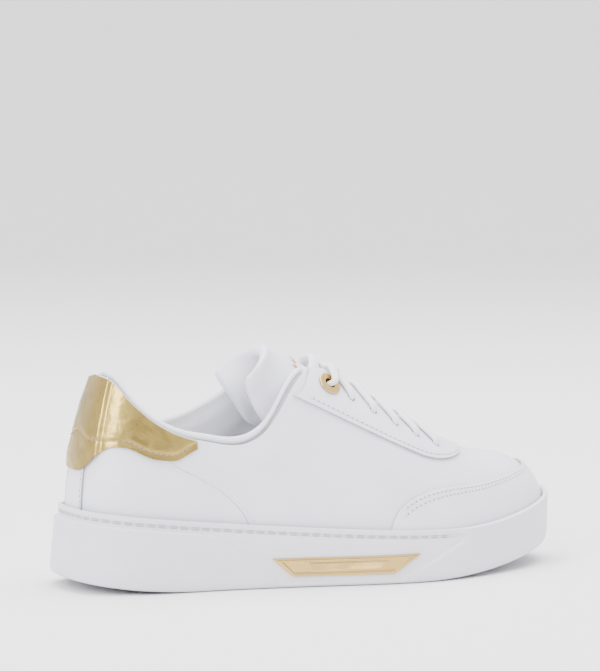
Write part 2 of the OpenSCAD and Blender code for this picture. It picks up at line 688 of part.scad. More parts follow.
// Points of the lace from hole k up to the next hole on the other side; sign is the side that it leaves.
// Each point is [station, share across, depth, width].
function lace_step(k, sign, mid_d) =
  let(a = HOLES[k], b = HOLES[k - 1], wa = sign * (1 - a[1]), wb = -sign * (1 - b[1]),
    over = mix(mid_d, lace_over, 0.5), under = mix(mid_d, lace_under, 0.6))
  [[a[0], wa, lace_under, hole_w],
    [a[0], wa, 0, hole_w],
    [a[0] - 0.015, wa * 0.97, lace_over, hole_w + 0.6],
    [mix(a[0], b[0], 0.25), wa * 0.66, lace_over, lace_w],
    [mix(a[0], b[0], 0.34), wa * 0.46, lace_over, lace_w],
    [mix(a[0], b[0], 0.44), wa * 0.22, over, lace_w],
    [mix(a[0], b[0], 0.55), 0, mid_d, lace_w],
    [mix(a[0], b[0], 0.66), wb * 0.24, under, lace_w],
    [mix(a[0], b[0], 0.75), wb * 0.44, lace_under, lace_w],
    [mix(a[0], b[0], 0.88), wb * 0.7, lace_under, lace_w]];
// The free end crosses the tongue from the first hole and is tucked down inside the far side
function lace_end(sign, shift, mid_d) =
  let(a = HOLES[0], w = sign * (1 - a[1]), q = a[0] + shift,
    over = mix(mid_d, lace_over, 0.5), under = mix(mid_d, lace_under, 0.6))
  [[a[0], w, lace_under, hole_w],
    [a[0], w, 0.2, hole_w],
    [a[0] + shift / 4, w * 0.95, ring_over, hole_w + 0.6],
    [a[0] + shift / 2, w * 0.6, ring_over, lace_w],
    [q, w * 0.42, lace_over + 0.3, lace_w],
    [q, w * 0.2, over, lace_w],
    [q, 0, mid_d, lace_w],
    [q, -w * 0.24, under, lace_w],
    [q, -w * 0.42, lace_under, lace_w],
    [q, -w * 0.66, lace_under, lace_w],
    [q, -w * 0.95, lace_under - 0.3, lace_w * 0.9],
    [q, -w * 1.25, lace_under - 1, lace_w * 0.7],
    [q, -w * 1.5, lace_under - 1.6, 3]];
last_hole = eyelet_count - 1;
function lace_half(odd_side, mid_d) =
  [for (k = [last_hole:-1:1]) each lace_step(k, k % 2 == 1 ? odd_side : -odd_side, mid_d)];
half_a = concat(lace_half(-1, 0.9), lace_end(1, 0.02, 1.4));
half_b = concat(lace_half(1, -1.5), lace_end(-1, 0.16, -0.6));
bar = [for (v = [-0.66, 0, 0.66]) [HOLES[last_hole][0], v * (1 - HOLES[last_hole][1]), lace_under, lace_w]];
ROUTE = concat([for (k = [len(half_a) - 1:-1:0]) half_a[k]], bar, half_b);

module lace() {
  pts = [for (r = ROUTE) [hoop(r[0], r[1], r[2]), r[3], lace_t]];
  color("white")
    strand(pts, function(i) [1, 0, -0.55], 6);
}

// Hard tips of the lace, inside the shoe between the lining and the tongue
module lace_tip(r, sign) {
  a = hoop(r[0], r[1] + sign * 0.012, r[2]);
  b = hoop(r[0], r[1] + sign * 0.14, r[2] - 0.6);
  v = b - a;
  translate(a)
    rotate([0, acos(v[2] / norm(v)), atan2(v[1], v[0])])
      cylinder(h = norm(v), r = 1.3, $fn = 24);
}

module lace_aglets() {
  color("whitesmoke") {
    lace_tip(ROUTE[0], -1);
    lace_tip(ROUTE[len(ROUTE) - 1], 1);
  }
}

outsole_tread();
cupsole();
midsole_filler();
sole_stitching();
side_plate();
insole_board();
sockliner();
heel_counter();
toe_puff();
vamp();
toe_overlay();
quarter_lateral();
quarter_medial();
eyestay();
back_stay();
heel_tab();
collar_piping();
collar_foam();
collar_lining();
vamp_lining();
tongue_base();
tongue_base_padding();
tongue_base_lining();
tongue_top();
tongue_top_padding();
tongue_top_lining();
tongue_binding();
tongue_wing_binding();
eyelet_ring_lateral();
eyelet_ring_medial();
lace();
lace_aglets();
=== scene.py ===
"""Court shoe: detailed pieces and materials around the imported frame. Shapes are worked out in millimetres."""
import math

import bmesh
import bpy
import numpy as np
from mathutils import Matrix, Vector, noise


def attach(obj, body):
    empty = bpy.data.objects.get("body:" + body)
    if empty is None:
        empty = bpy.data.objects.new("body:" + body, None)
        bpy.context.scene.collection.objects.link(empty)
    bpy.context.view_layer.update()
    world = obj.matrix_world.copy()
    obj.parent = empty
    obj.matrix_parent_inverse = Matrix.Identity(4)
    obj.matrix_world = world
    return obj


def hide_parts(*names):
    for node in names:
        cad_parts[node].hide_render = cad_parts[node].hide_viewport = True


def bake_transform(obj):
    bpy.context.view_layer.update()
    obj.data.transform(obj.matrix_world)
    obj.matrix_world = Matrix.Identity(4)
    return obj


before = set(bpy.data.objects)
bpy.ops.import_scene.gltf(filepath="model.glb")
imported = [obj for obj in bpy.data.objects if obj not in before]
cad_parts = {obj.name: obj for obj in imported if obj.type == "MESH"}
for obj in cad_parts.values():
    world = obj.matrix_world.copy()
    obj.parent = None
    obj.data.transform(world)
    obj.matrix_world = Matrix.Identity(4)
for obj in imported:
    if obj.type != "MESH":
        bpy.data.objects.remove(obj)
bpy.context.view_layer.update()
MM = 0.001

# ---- Driving dimensions, as in the CAD ----

RIM_HEEL, RIM_BALL, RIM_TOE = 41.5, 25.7, 38.0
BALL_X = 60.0
TOE_SPRING, HEEL_SPRING = 12.5, 6.0
TREAD_T, RIM_T, PANEL_DEPTH = 3.0, 2.0, 1.3
PLATE_T, PLATE_SEAT, PLATE_RELIEF = 1.2, 0.25, 0.45
CUP_FLOOR_T, SOCK_T = 3.6, 4.0
FRAME_HEEL, FRAME_WAIST, FRAME_BALL_OUTER, FRAME_BALL_INNER, FRAME_TOE = 42, 34, 60, 55, 31
HEEL_X, TOE_X = -140.4, 142.0
ANKLE_H, TOE_H = 158.0, 57.0
LEATHER_T, OVERLAY_T, LINING_T, STIFF_T = 1.3, 1.2, 0.8, 0.9
COLLAR_FOAM_T, COLLAR_ROLL_R = 4.5, 2.15
TONGUE_H, TONGUE_W, TONGUE_T, TONGUE_DEPTH, TONGUE_Y = 119.0, 18.5, 6.2, 4.6, -4.3
TONGUE_END, TONGUE_ROOT = -29.0, 66.0
HOLE_R, LACE_W, LACE_T = 2.4, 6.4, 1.2
GAP, SEAM_GAP, TREAD_INSET = 0.35, 0.003, 4.6
WALL_DROP, FEATHER_DROP, SOFT = 6.5, 6.0, 28.0
EYELETS = 6
THROAT_END = 6.3
STAY_STITCH, TOE_STITCHES = 0.028, (0.02, 0.05)

# ---- Curves ----


def mix(a, b, k):
    return a + (b - a) * k


def ease(k):
    c = np.clip(k, 0, 1)
    return c * c * (3 - 2 * c)


def curve(knots, x):
    """Smooth curve through the [x, y] points of a table."""
    kx, ky = np.array(knots, float).T
    x = np.clip(x, kx[0], kx[-1])
    slope = np.diff(ky) / np.diff(kx)
    m = np.concatenate([slope[:1], (slope[1:] + slope[:-1]) / 2, slope[-1:]])
    i = np.clip(np.searchsorted(kx, x, side="right") - 1, 0, len(kx) - 2)
    h = kx[i + 1] - kx[i]
    t = (x - kx[i]) / h
    u = 1 - t
    return (u * u * ((1 + 2 * t) * ky[i] + t * h * m[i])
            + t * t * ((3 - 2 * t) * ky[i + 1] - u * h * m[i + 1]))


def unit(v):
    return v / np.maximum(np.linalg.norm(v, axis=-1, keepdims=True), 1e-12)


def stack(*parts):
    return np.stack(np.broadcast_arrays(*parts), -1)


# ---- Outline of the sole ----

FRAME_OUTER = [[-112, FRAME_HEEL], [-60, FRAME_HEEL], [54, FRAME_BALL_OUTER], [119, FRAME_TOE - 2]]
FRAME_INNER = [[-111, FRAME_HEEL - 1], [-30, FRAME_WAIST], [66, FRAME_BALL_INNER], [131, FRAME_TOE + 2]]


def sole_corners():
    outer = [-112 + 43 * min(k, 3) + 34 * max(k - 3, 0) for k in range(7)]
    inner = [-111 + 45 * min(k, 4) + 31 * max(k - 4, 0) for k in range(7)]
    return np.array(
        [[HEEL_X, 0], [HEEL_X + 2, -26]]
        + [[x, -float(curve(FRAME_OUTER, x))] for x in outer]
        + [[TOE_X, 2]]
        + [[x, float(curve(FRAME_INNER, x))] for x in reversed(inner)]
        + [[HEEL_X + 2, 26]])


SOLE = sole_corners()
TURN = len(SOLE)


def spline(u, weights):
    i = np.floor(u).astype(int)
    f = u - i
    return sum(w[..., None] * SOLE[(i + k - 1) % TURN] for k, w in enumerate(weights(f)))


def outline(u, inset):
    """Point of the closed outline, u from the heel round the outer side, moved in by inset."""
    u = np.asarray(u, float)
    p = spline(u, lambda f: ((1 - f) ** 3 / 6, (3 * f ** 3 - 6 * f ** 2 + 4) / 6,
                             (-3 * f ** 3 + 3 * f ** 2 + 3 * f + 1) / 6, f ** 3 / 6))
    h = unit(spline(u, lambda f: (-(1 - f) ** 2, 3 * f ** 2 - 4 * f, 1 + 2 * f - 3 * f ** 2, f ** 2)))
    return p + np.asarray(inset, float)[..., None] * stack(-h[..., 1], h[..., 0])


def find_tip():
    u = np.linspace(8.5, 9.8, 20001)
    return float(u[np.argmax(outline(u, np.zeros_like(u))[:, 0])])


TIP = find_tip()


def side_place(u):
    return np.where(u < TIP, u, TURN - u)


def toe_part(u):
    return ease((1.9 - np.abs(u - TIP)) / 1.2)


def rim_inset(u):
    return mix(3.4, 0.6, toe_part(u)) + 1.2 * ease((1.9 - np.minimum(u, TURN - u)) / 1.2)


def ledge(u):
    """How far the wraps stand proud of the rim."""
    return mix(2, 0.6, toe_part(u))


def over_rim(u):
    """1 where the toe wrap covers the rim."""
    return ease((side_place(u) - 6.15) / 0.3)


def rim_z(x):
    rear = (RIM_HEEL - RIM_BALL) * (np.maximum(BALL_X - x, 0) / 198) ** 1.6
    return RIM_BALL + rear + (RIM_TOE - RIM_BALL) * (np.maximum(x - BALL_X, 0) / 78) ** 2


def ground(x):
    return (HEEL_SPRING * (np.maximum(0, -x - 75) / 63) ** 2
            + TOE_SPRING * (np.maximum(0, x - 30) / 108) ** 2)


# ---- Surface of the upper ----

KEEL = [[-97, -1.5], [0, -2], [99, 5]]
EDGE_OUTER = [[0, 0.4], [1.2, 0.38], [2.85, 0.245], [3.6, 0.31], [4.5, 0.79], [5.9, 0.82],
              [6.3, 0.92], [9.4, 0.92]]
EDGE_INNER = [[0, 0.4], [1.2, 0.37], [2.65, 0.245], [3.5, 0.38], [4.5, 0.79], [5.9, 0.82],
              [6.3, 0.92], [9.4, 0.92]]
ROLL = [[0, 0.011], [3, 0.012], [3.6, 0.02], [4, 0.035], [4.5, 0.03]]
TAB_T, STAY_T, STAY_MARGIN = 0.8, 0.9, 0.07
STAY_SHARE, STAY_TURN, STAY_TIP, STAY_RISE = 0.495, 5.75, 6.96, 0.44
OVERLAY_START, OVERLAY_SHARE, OVERLAY_POWER = 5.1, 0.54, 0.4


def ridge_z(x):
    return mix(TOE_H, ANKLE_H, ease((112 - x) / 222))


def lean(x):
    return 1.1 - x / 600 + 1.2 * (np.maximum(0, -55 - x) / 42) ** 2


def quarter_seam(f):
    return 1.95 + 1.45 * np.sqrt(np.maximum(0, 1 - (f / 0.72) ** 2))


def tab_low(s):
    """Lower edge of the heel tab: up from the back point, a slight dip, then up at the tips."""
    s = np.abs(s)
    return (0.13 + 0.075 * ease((s - 0.25) / 1.3) - 0.025 * ease((s - 1.7) / 0.6)
            + 0.05 * ease((s - 2.45) / 0.5))


def tab_stitch_line(s):
    """Height of the tab's stitches over its lower edge, raised at the back."""
    return 0.016 + 0.09 * (1 - ease(np.abs(s) / 1.5))


def stay_half(t):
    """Half width of the back stay, in stations."""
    return mix(0.5, 0.88, ease((t - 0.13) / 0.27))


def upper_inset(u):
    return rim_inset(u) + RIM_T + 2


def soft_x(x):
    front = 71 + SOFT * (1 - np.exp(np.minimum(71 - x, 0) / SOFT))
    rear = -69 - SOFT * (1 - np.exp(np.minimum(x + 69, 0) / SOFT))
    return np.where(x > 71, front, np.where(x < -69, rear, x))


def last_point(u, t):
    u, t = np.broadcast_arrays(np.asarray(u, float), np.asarray(t, float))
    f = outline(u, upper_inset(u))
    x = soft_x(f[..., 0])
    r = np.maximum(0, np.cos(np.pi / 2 * t)) ** lean(x)
    z = rim_z(f[..., 0]) - FEATHER_DROP
    return stack(mix(x, f[..., 0], r), mix(curve(KEEL, x), f[..., 1], r),
                 mix(z, ridge_z(x), np.sin(np.pi / 2 * t)))


def last_normal(u, t):
    step = 0.002
    u, t = np.broadcast_arrays(np.asarray(u, float), np.minimum(t, 0.98))
    return unit(np.cross(last_point(u + step, t) - last_point(u - step, t),
                         last_point(u, t + step) - last_point(u, t - step)))


def skin(u, t, d):
    return last_point(u, t) + np.asarray(d, float)[..., None] * last_normal(u, t)


def side_table(first, last):
    u = np.linspace(first, last, 1201)
    return outline(u, upper_inset(u))[:, 0], u


INNER_X, INNER_U = (a[::-1] for a in side_table(TIP, TURN))
OUTER_X, OUTER_U = side_table(0, TIP)
HOLES = [(float(np.interp(-2.2 + 12 * k, OUTER_X, OUTER_U)), 0.668) for k in range(EYELETS)]


def partner(p):
    p = np.asarray(p, float)
    return np.interp(outline(p, upper_inset(p))[..., 0], INNER_X, INNER_U)


def hoop(p, w, d):
    """Across the shoe at station p: w is -1 at the outer feather, 0 on the ridge, 1 at the inner one."""
    p, w, d = np.broadcast_arrays(np.asarray(p, float), np.asarray(w, float), np.asarray(d, float))
    q = partner(p)
    u = np.where(w < 0, p, q)
    t = 1 - np.abs(w)
    middle = unit(last_normal(p, 0.98) + last_normal(q, 0.98))
    n = unit(mix(middle, last_normal(u, t), ease(np.abs(w) / 0.08)[..., None]))
    return last_point(u, t) + d[..., None] * n


def heel(s, t, d):
    """Round the heel: s is a station, negative on the inner side."""
    s, t, d = np.broadcast_arrays(np.asarray(s, float), np.asarray(t, float), np.asarray(d, float))
    return skin(np.where(s < 0, partner(-s), s), t, d)


def edge(s):
    return np.where(s < 0, curve(EDGE_INNER, np.abs(s)), curve(EDGE_OUTER, np.abs(s)))


def roll_line(s):
    return edge(s) + curve(ROLL, np.abs(s))


def collar_seam(s):
    return curve(EDGE_OUTER, np.abs(s)) * mix(0.52, 0.65, np.minimum(1, np.abs(s) / 2))


def stay_low(p):
    reach = np.clip((p - STAY_TURN) / (STAY_TIP - STAY_TURN), 0, 1)
    return STAY_SHARE + STAY_RISE * (1 - np.sqrt(1 - reach ** 2))


def toe_edge(p):
    return OVERLAY_SHARE * (np.maximum(0, p - OVERLAY_START) / (TIP - OVERLAY_START)) ** OVERLAY_POWER


def under_roll(s):
    return roll_line(s) - 0.019 - 0.03 * ease((np.abs(s) - 3.3) / 0.6)


def lining_depth(s, t):
    low = collar_seam(s)
    k = (t - low) / (under_roll(s) - low)
    puff = ease(2 * k) * ease(2.4 - 1.6 * k) * ease((4.5 - np.abs(s)) * 0.9)
    return LEATHER_T + STIFF_T + 3 * GAP + (COLLAR_FOAM_T - STIFF_T) * puff


# ---- Side wall of the sole ----


def on_panel(u, k):
    """1 inside the recessed panel. Its bevelled ends are crisper than in the simpler CAD wall."""
    s = side_place(u)
    rear, front = 3.66 - 0.66 * k - 0.17 * k ** 8, mix(5.3, 6.3, k)
    return ease((s - rear) / 0.05) * ease((front - s) / 0.05)


def sole_wall(u, k, out):
    """Outside of the sole at share k of its height, moved out by out."""
    inset = mix(0.3, rim_inset(u) - ledge(u), k) + PANEL_DEPTH * on_panel(u, k) - out
    p = outline(u, inset)
    return stack(p[..., 0], p[..., 1], mix(ground(p[..., 0]) + 4, rim_z(p[..., 0]) - WALL_DROP, k))


# ---- Tongue ----

TONGUE_MID = [[-32, TONGUE_H], [-22, TONGUE_H - 4.5], [-8, 106.5], [4, 99], [12, 94]]
TONGUE_ARCH = [[-32, 16], [-20, 36], [-8, 31], [4, 25], [12, 22]]
TONGUE_SWEEP = [[-32, 16.5], [-20, 13], [-8, 6], [12, 4.5]]
TONGUE_HALF = [[-32, TONGUE_W + 5], [-27, TONGUE_W - 1.5], [-18, TONGUE_W - 1], [-8, TONGUE_W]]
TONGUE_SHARE = [[-12, 0.36], [4, 0.36], [30, 0.36], [50, 0.34], [66, 0.28]]


def arch(x, v, d):
    a = np.radians(84) * v
    turn = 1 - np.cos(a)
    n = unit(stack(0.42 * np.cos(a), np.sin(a), 0.88 * np.cos(a)))
    return stack(x - curve(TONGUE_SWEEP, x) * turn, curve(TONGUE_HALF, x) * np.sin(a) + TONGUE_Y,
                 curve(TONGUE_MID, x) - curve(TONGUE_ARCH, x) * turn) + d[..., None] * n


def tongue(x, v, d):
    x, v, d = np.broadcast_arrays(np.asarray(x, float), np.asarray(v, float), np.asarray(d, float))
    station = np.interp(x, OUTER_X, OUTER_U)
    under = hoop(station, v * curve(TONGUE_SHARE, x), d - TONGUE_DEPTH)
    return mix(under, arch(x, v, d), ease((8 - x) / 16)[..., None])


# ---- Materials ----


class Finish:
    """A Principled material with helpers for its procedural detail."""

    def __init__(self, name, colour, roughness, metallic=0.0, **sockets):
        self.material = bpy.data.materials.new(name)
        self.material.use_nodes = True
        self.nodes = self.material.node_tree.nodes
        self.links = self.material.node_tree.links
        self.shader = self.nodes["Principled BSDF"]
        self.colour = colour
        self.shader.inputs["Base Color"].default_value = (*colour, 1)
        self.shader.inputs["Roughness"].default_value = roughness
        self.shader.inputs["Metallic"].default_value = metallic
        for socket, value in sockets.items():
            self.shader.inputs[socket.replace("_", " ")].default_value = value
        self.place = self.nodes.new("ShaderNodeTexCoord")
        self.height = None

    def texture(self, kind, scale, where="Object", stretch=(1, 1, 1), turn=0.0, **values):
        mapping = self.nodes.new("ShaderNodeMapping")
        mapping.inputs["Scale"].default_value = stretch
        mapping.inputs["Rotation"].default_value = (0, 0, turn)
        self.links.new(self.place.outputs[where], mapping.inputs["Vector"])
        node = self.nodes.new("ShaderNodeTex" + kind)
        self.links.new(mapping.outputs["Vector"], node.inputs["Vector"])
        node.inputs["Scale"].default_value = scale
        for key, value in values.items():
            if key in node.inputs:
                node.inputs[key].default_value = value
            else:
                setattr(node, key, value)
        return node.outputs["Fac"] if "Fac" in node.outputs else node.outputs["Distance"]

    def tint(self, source, low, high, start=0.3, end=0.7):
        ramp = self.nodes.new("ShaderNodeValToRGB")
        ramp.color_ramp.elements[0].position, ramp.color_ramp.elements[1].position = start, end
        ramp.color_ramp.elements[0].color = (*[c * low for c in self.colour], 1)
        ramp.color_ramp.elements[1].color = (*[min(1, c * high) for c in self.colour], 1)
        self.links.new(source, ramp.inputs["Fac"])
        self.links.new(ramp.outputs["Color"], self.shader.inputs["Base Color"])

    def rough(self, source, low, high):
        span = self.nodes.new("ShaderNodeMapRange")
        span.inputs["To Min"].default_value, span.inputs["To Max"].default_value = low, high
        self.links.new(source, span.inputs["Value"])
        self.links.new(span.outputs["Result"], self.shader.inputs["Roughness"])

    def bump(self, source, depth, strength=1.0):
        """Adds relief of the given depth in millimetres on top of what is there."""
        node = self.nodes.new("ShaderNodeBump")
        node.inputs["Strength"].default_value = strength
        node.inputs["Distance"].default_value = depth * MM
        self.links.new(source, node.inputs["Height"])
        if self.height:
            self.links.new(self.height, node.inputs["Normal"])
        self.height = node.outputs["Normal"]
        self.links.new(self.height, self.shader.inputs["Normal"])


def leather(name, colour, roughness=0.4):
    f = Finish(name, colour, roughness, Specular_IOR_Level=0.45, Coat_Weight=0.12, Coat_Roughness=0.3)
    soft = f.texture("Noise", 35, Detail=4)
    f.tint(soft, 0.96, 1.03)
    f.rough(f.texture("Noise", 180, Detail=5), roughness - 0.08, roughness + 0.1)
    f.bump(f.texture("Noise", 60, Detail=3), 0.25, 0.35)
    f.bump(f.texture("Voronoi", 1300, Randomness=0.9), 0.05, 0.5)
    return f.material


def foil_leather():
    f = Finish("foil_leather", (0.44, 0.315, 0.085), 0.25, 1.0, Coat_Weight=0.2, Coat_Roughness=0.15)
    cracks = f.texture("Voronoi", 260, feature="DISTANCE_TO_EDGE")
    f.tint(f.texture("Noise", 90, Detail=6), 0.8, 1.12)
    f.rough(f.texture("Noise", 240, Detail=6), 0.2, 0.42)
    f.bump(f.texture("Noise", 110, Detail=5), 0.5, 0.5)
    f.bump(cracks, 0.08, 0.4)
    return f.material


def rubber(name, hatched):
    f = Finish(name, (0.70, 0.70, 0.745), 0.52, Specular_IOR_Level=0.4)
    f.tint(f.texture("Noise", 25, Detail=3), 0.97, 1.02)
    f.rough(f.texture("Noise", 400, Detail=3), 0.46, 0.6)
    f.bump(f.texture("Noise", 1500, Detail=2), 0.03, 0.5)
    if hatched:
        for turn in (math.pi / 4, -math.pi / 4):
            f.bump(f.texture("Wave", 300, "UV", turn=turn, wave_profile="SIN"), 0.1, 0.35)
    return f.material


def polished_gold():
    f = Finish("polished_gold", (0.60, 0.41, 0.15), 0.14, 1.0)
    f.tint(f.texture("Noise", 80, Detail=4), 0.95, 1.04)
    f.rough(f.texture("Noise", 500, Detail=4, stretch=(0.2, 1, 1)), 0.1, 0.22)
    f.bump(f.texture("Noise", 300, Detail=2), 0.02, 0.3)
    return f.material


def mesh_textile():
    f = Finish("mesh_textile", (0.83, 0.83, 0.88), 0.9, Sheen_Weight=0.35, Sheen_Roughness=0.5)
    ribs = f.texture("Wave", 260, "UV", wave_profile="SIN", bands_direction="Y")
    cross = f.texture("Wave", 390, "UV", wave_profile="SIN")
    f.tint(ribs, 0.9, 1.03)
    f.bump(ribs, 0.3, 0.5)
    f.bump(cross, 0.2, 0.4)
    return f.material


def weave(name, colour, threads):
    f = Finish(name, colour, 0.8, Sheen_Weight=0.25, Sheen_Roughness=0.5)
    over = f.texture("Wave", threads, "UV", turn=math.pi / 4, wave_profile="SIN")
    under = f.texture("Wave", threads, "UV", turn=-math.pi / 4, wave_profile="SIN")
    f.tint(over, 0.92, 1.03)
    f.bump(over, 0.15, 0.5)
    f.bump(under, 0.15, 0.5)
    return f.material


def plain(name, colour, roughness, grain, depth):
    f = Finish(name, colour, roughness)
    f.tint(f.texture("Noise", grain, Detail=5), 0.88, 1.05)
    f.rough(f.texture("Noise", grain * 2, Detail=3), roughness - 0.08, min(1, roughness + 0.1))
    f.bump(f.texture("Noise", grain, Detail=4), depth, 0.6)
    return f.material


WHITE = leather("white_leather", (0.77, 0.77, 0.84))
# grey cut edges: partly the raw edge's own colour, partly painted shade for the shadow line along the overlay
# edges
RAW_EDGE_AND_SHADE = plain("raw_edge_and_painted_shade", (0.42, 0.42, 0.45), 0.85, 900, 0.1)
BROWN = plain("raw_foil_edge", (0.22, 0.12, 0.06), 0.85, 900, 0.1)
FOIL = foil_leather()
GOLD = polished_gold()
RUBBER = rubber("white_rubber", False)
HATCHED = rubber("hatched_rubber", True)
TEXTILE = mesh_textile()
THREAD = weave("stitch_thread", (0.80, 0.80, 0.83), 600)
LACE = weave("lace_weave", (0.88, 0.88, 0.92), 420)
# needle holes coloured near black: painted shade inside the holes
NEEDLE_HOLE_SHADE = plain("needle_hole_shade", (0.16, 0.16, 0.18), 0.9, 600, 0.02)
RIM_THREAD = weave("rim_thread", (0.50, 0.50, 0.54), 400)
GOLD_THREAD = weave("gold_thread", (0.42, 0.28, 0.10), 600)
SOCK = weave("sock_knit", (0.80, 0.80, 0.83), 260)
FOAM = plain("foam", (0.82, 0.79, 0.66), 0.9, 700, 0.2)
BOARD = plain("cellulose_board", (0.66, 0.55, 0.40), 0.9, 500, 0.1)
STIFF = plain("stiffener_sheet", (0.74, 0.68, 0.55), 0.6, 300, 0.05)
AGLET = plain("lace_tip_film", (0.85, 0.85, 0.87), 0.25, 200, 0.02)

# ---- Mesh building ----


def piece(name, points, faces, materials, slot, replaces=(), face_slots=None, uv=None,
          body="shoe", bevel=0.0):
    """Makes a mesh piece from points in millimetres, sets its finish and lets it ride on its body."""
    mesh = bpy.data.meshes.new(name)
    mesh.from_pydata((np.asarray(points, float) * MM).tolist(), [], [list(map(int, f)) for f in faces])
    for m in materials:
        mesh.materials.append(m)
    if face_slots is not None:
        mesh.polygons.foreach_set("material_index", np.asarray(face_slots, np.int32))
    if uv is not None:
        layer = mesh.uv_layers.new(name="UVMap")
        corner = np.zeros(len(mesh.loops), np.int32)
        mesh.loops.foreach_get("vertex_index", corner)
        layer.data.foreach_set("uv", (np.asarray(uv)[corner] * MM).astype(np.float32).ravel())
    bm = bmesh.new()
    bm.from_mesh(mesh)
    bmesh.ops.remove_doubles(bm, verts=bm.verts, dist=1e-6)
    bmesh.ops.recalc_face_normals(bm, faces=bm.faces)
    bm.to_mesh(mesh)
    bm.free()
    mesh.polygons.foreach_set("use_smooth", [True] * len(mesh.polygons))
    mesh.set_sharp_from_angle(angle=math.radians(42))
    obj = bpy.data.objects.new(name, mesh)
    bpy.context.scene.collection.objects.link(obj)
    if bevel:
        rounding = obj.modifiers.new("rounded_edges", "BEVEL")
        rounding.width = bevel * MM
        rounding.segments = 2
        rounding.limit_method = "ANGLE"
        rounding.angle_limit = math.radians(55)
    if body:
        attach(obj, body)
    if replaces:
        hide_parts(*replaces)
    return obj


def run_length(path):
    """Distance along a row of points, from its start."""
    return np.concatenate([[0], np.cumsum(np.linalg.norm(np.diff(path, axis=0), axis=1))])


def arc_lengths(grid):
    along = run_length(grid.mean(1))
    steps = np.linalg.norm(np.diff(grid, axis=1), axis=2)
    across = np.concatenate([np.zeros((len(grid), 1)), np.cumsum(steps, axis=1)], axis=1)
    return stack(along[:, None] + 0 * across, across - across.mean(1, keepdims=True))


def shell(name, outer, inner, materials, slot, replaces, keep=None, closed_end=False, bevel=0.25):
    """Closed panel between two grids of points. Its cut edges take the last material."""
    ni, nj = outer.shape[0] - 1, outer.shape[1] - 1
    keep = np.ones((ni, nj), bool) if keep is None else keep
    size = (ni + 1) * (nj + 1)
    here = lambda i, j, k: k * size + i * (nj + 1) + j
    full = np.pad(keep, 1)
    faces, slots = [], []
    for i, j in np.argwhere(keep):
        faces.append((here(i, j, 0), here(i + 1, j, 0), here(i + 1, j + 1, 0), here(i, j + 1, 0)))
        faces.append((here(i, j, 1), here(i, j + 1, 1), here(i + 1, j + 1, 1), here(i + 1, j, 1)))
        slots += [0, 0]
        walls = []
        if not full[i, j + 1]:
            walls.append(((i, j), (i, j + 1)))
        if not full[i + 2, j + 1] and not (closed_end and i == ni - 1):
            walls.append(((i + 1, j + 1), (i + 1, j)))
        if not full[i + 1, j]:
            walls.append(((i + 1, j), (i, j)))
        if not full[i + 1, j + 2]:
            walls.append(((i, j + 1), (i + 1, j + 1)))
        for a, b in walls:
            faces.append((here(*a, 0), here(*b, 0), here(*b, 1), here(*a, 1)))
            slots.append(len(materials) - 1)
    points = np.concatenate([outer.reshape(-1, 3), inner.reshape(-1, 3)])
    used = np.unique(np.array(faces).ravel())
    renumber = np.zeros(len(points), int)
    renumber[used] = np.arange(len(used))
    uv = np.tile(arc_lengths(outer).reshape(-1, 2), (2, 1))
    return piece(name, points[used], renumber[np.array(faces)], materials, slot, replaces, slots,
                 uv[used], bevel=bevel)


def grid(ni, nj):
    return np.meshgrid(np.linspace(0, 1, ni + 1), np.linspace(0, 1, nj + 1), indexing="ij")


def loft(loops, seam_column):
    """Faces and layout of a closed skin through loops of points, with both ends capped."""
    m, n = loops.shape[:2]
    ids = np.arange(m * n).reshape(m, n)
    a, b = ids[:-1], ids[1:]
    faces = stack(a, b, np.roll(b, -1, 1), np.roll(a, -1, 1)).reshape(-1, 4).tolist()
    faces += [ids[0][::-1].tolist(), ids[-1].tolist()]
    run, ring = run_length(loops[:, seam_column]), run_length(loops[m // 2])
    return faces, stack(np.repeat(run, n), np.tile(ring, m))


def tube(path, side, widths, thickness, facets):
    """Points and faces of an oval strand along path, with closed ends."""
    n = len(path)
    along = unit(np.gradient(path, axis=0))
    a = unit(side - along * np.sum(side * along, axis=1, keepdims=True))
    b = np.cross(along, a)
    q = np.linspace(0, 2 * np.pi, facets, endpoint=False) + np.pi / facets
    rings = (path[:, None] + a[:, None] * (np.cos(q)[None, :, None] * widths[:, None, None] / 2)
             + b[:, None] * (np.sin(q)[None, :, None] * thickness[:, None, None] / 2))
    faces = [(i * facets + k, (i + 1) * facets + k, (i + 1) * facets + (k + 1) % facets,
              i * facets + (k + 1) % facets) for i in range(n - 1) for k in range(facets)]
    faces += [tuple(range(facets)), tuple(range((n - 1) * facets, n * facets))]
    run = run_length(path)
    uv = stack(np.repeat(run, facets), np.tile(np.cos(q), n) * np.repeat(widths, facets) / 2)
    return rings.reshape(-1, 3), faces, uv


def smooth_path(points, per_span):
    """Catmull-Rom curve through rows of numbers."""
    points = np.asarray(points, float)
    ends = np.concatenate([points[:1], points, points[-1:]])
    t = np.linspace(0, 1, per_span, endpoint=False)[:, None]
    spans = [0.5 * (2 * b + (c - a) * t + (2 * a - 5 * b + 4 * c - d) * t ** 2
                    + (3 * b - a - 3 * c + d) * t ** 3)
             for a, b, c, d in zip(ends, ends[1:], ends[2:], ends[3:])]
    return np.concatenate(spans + [points[-1:]])


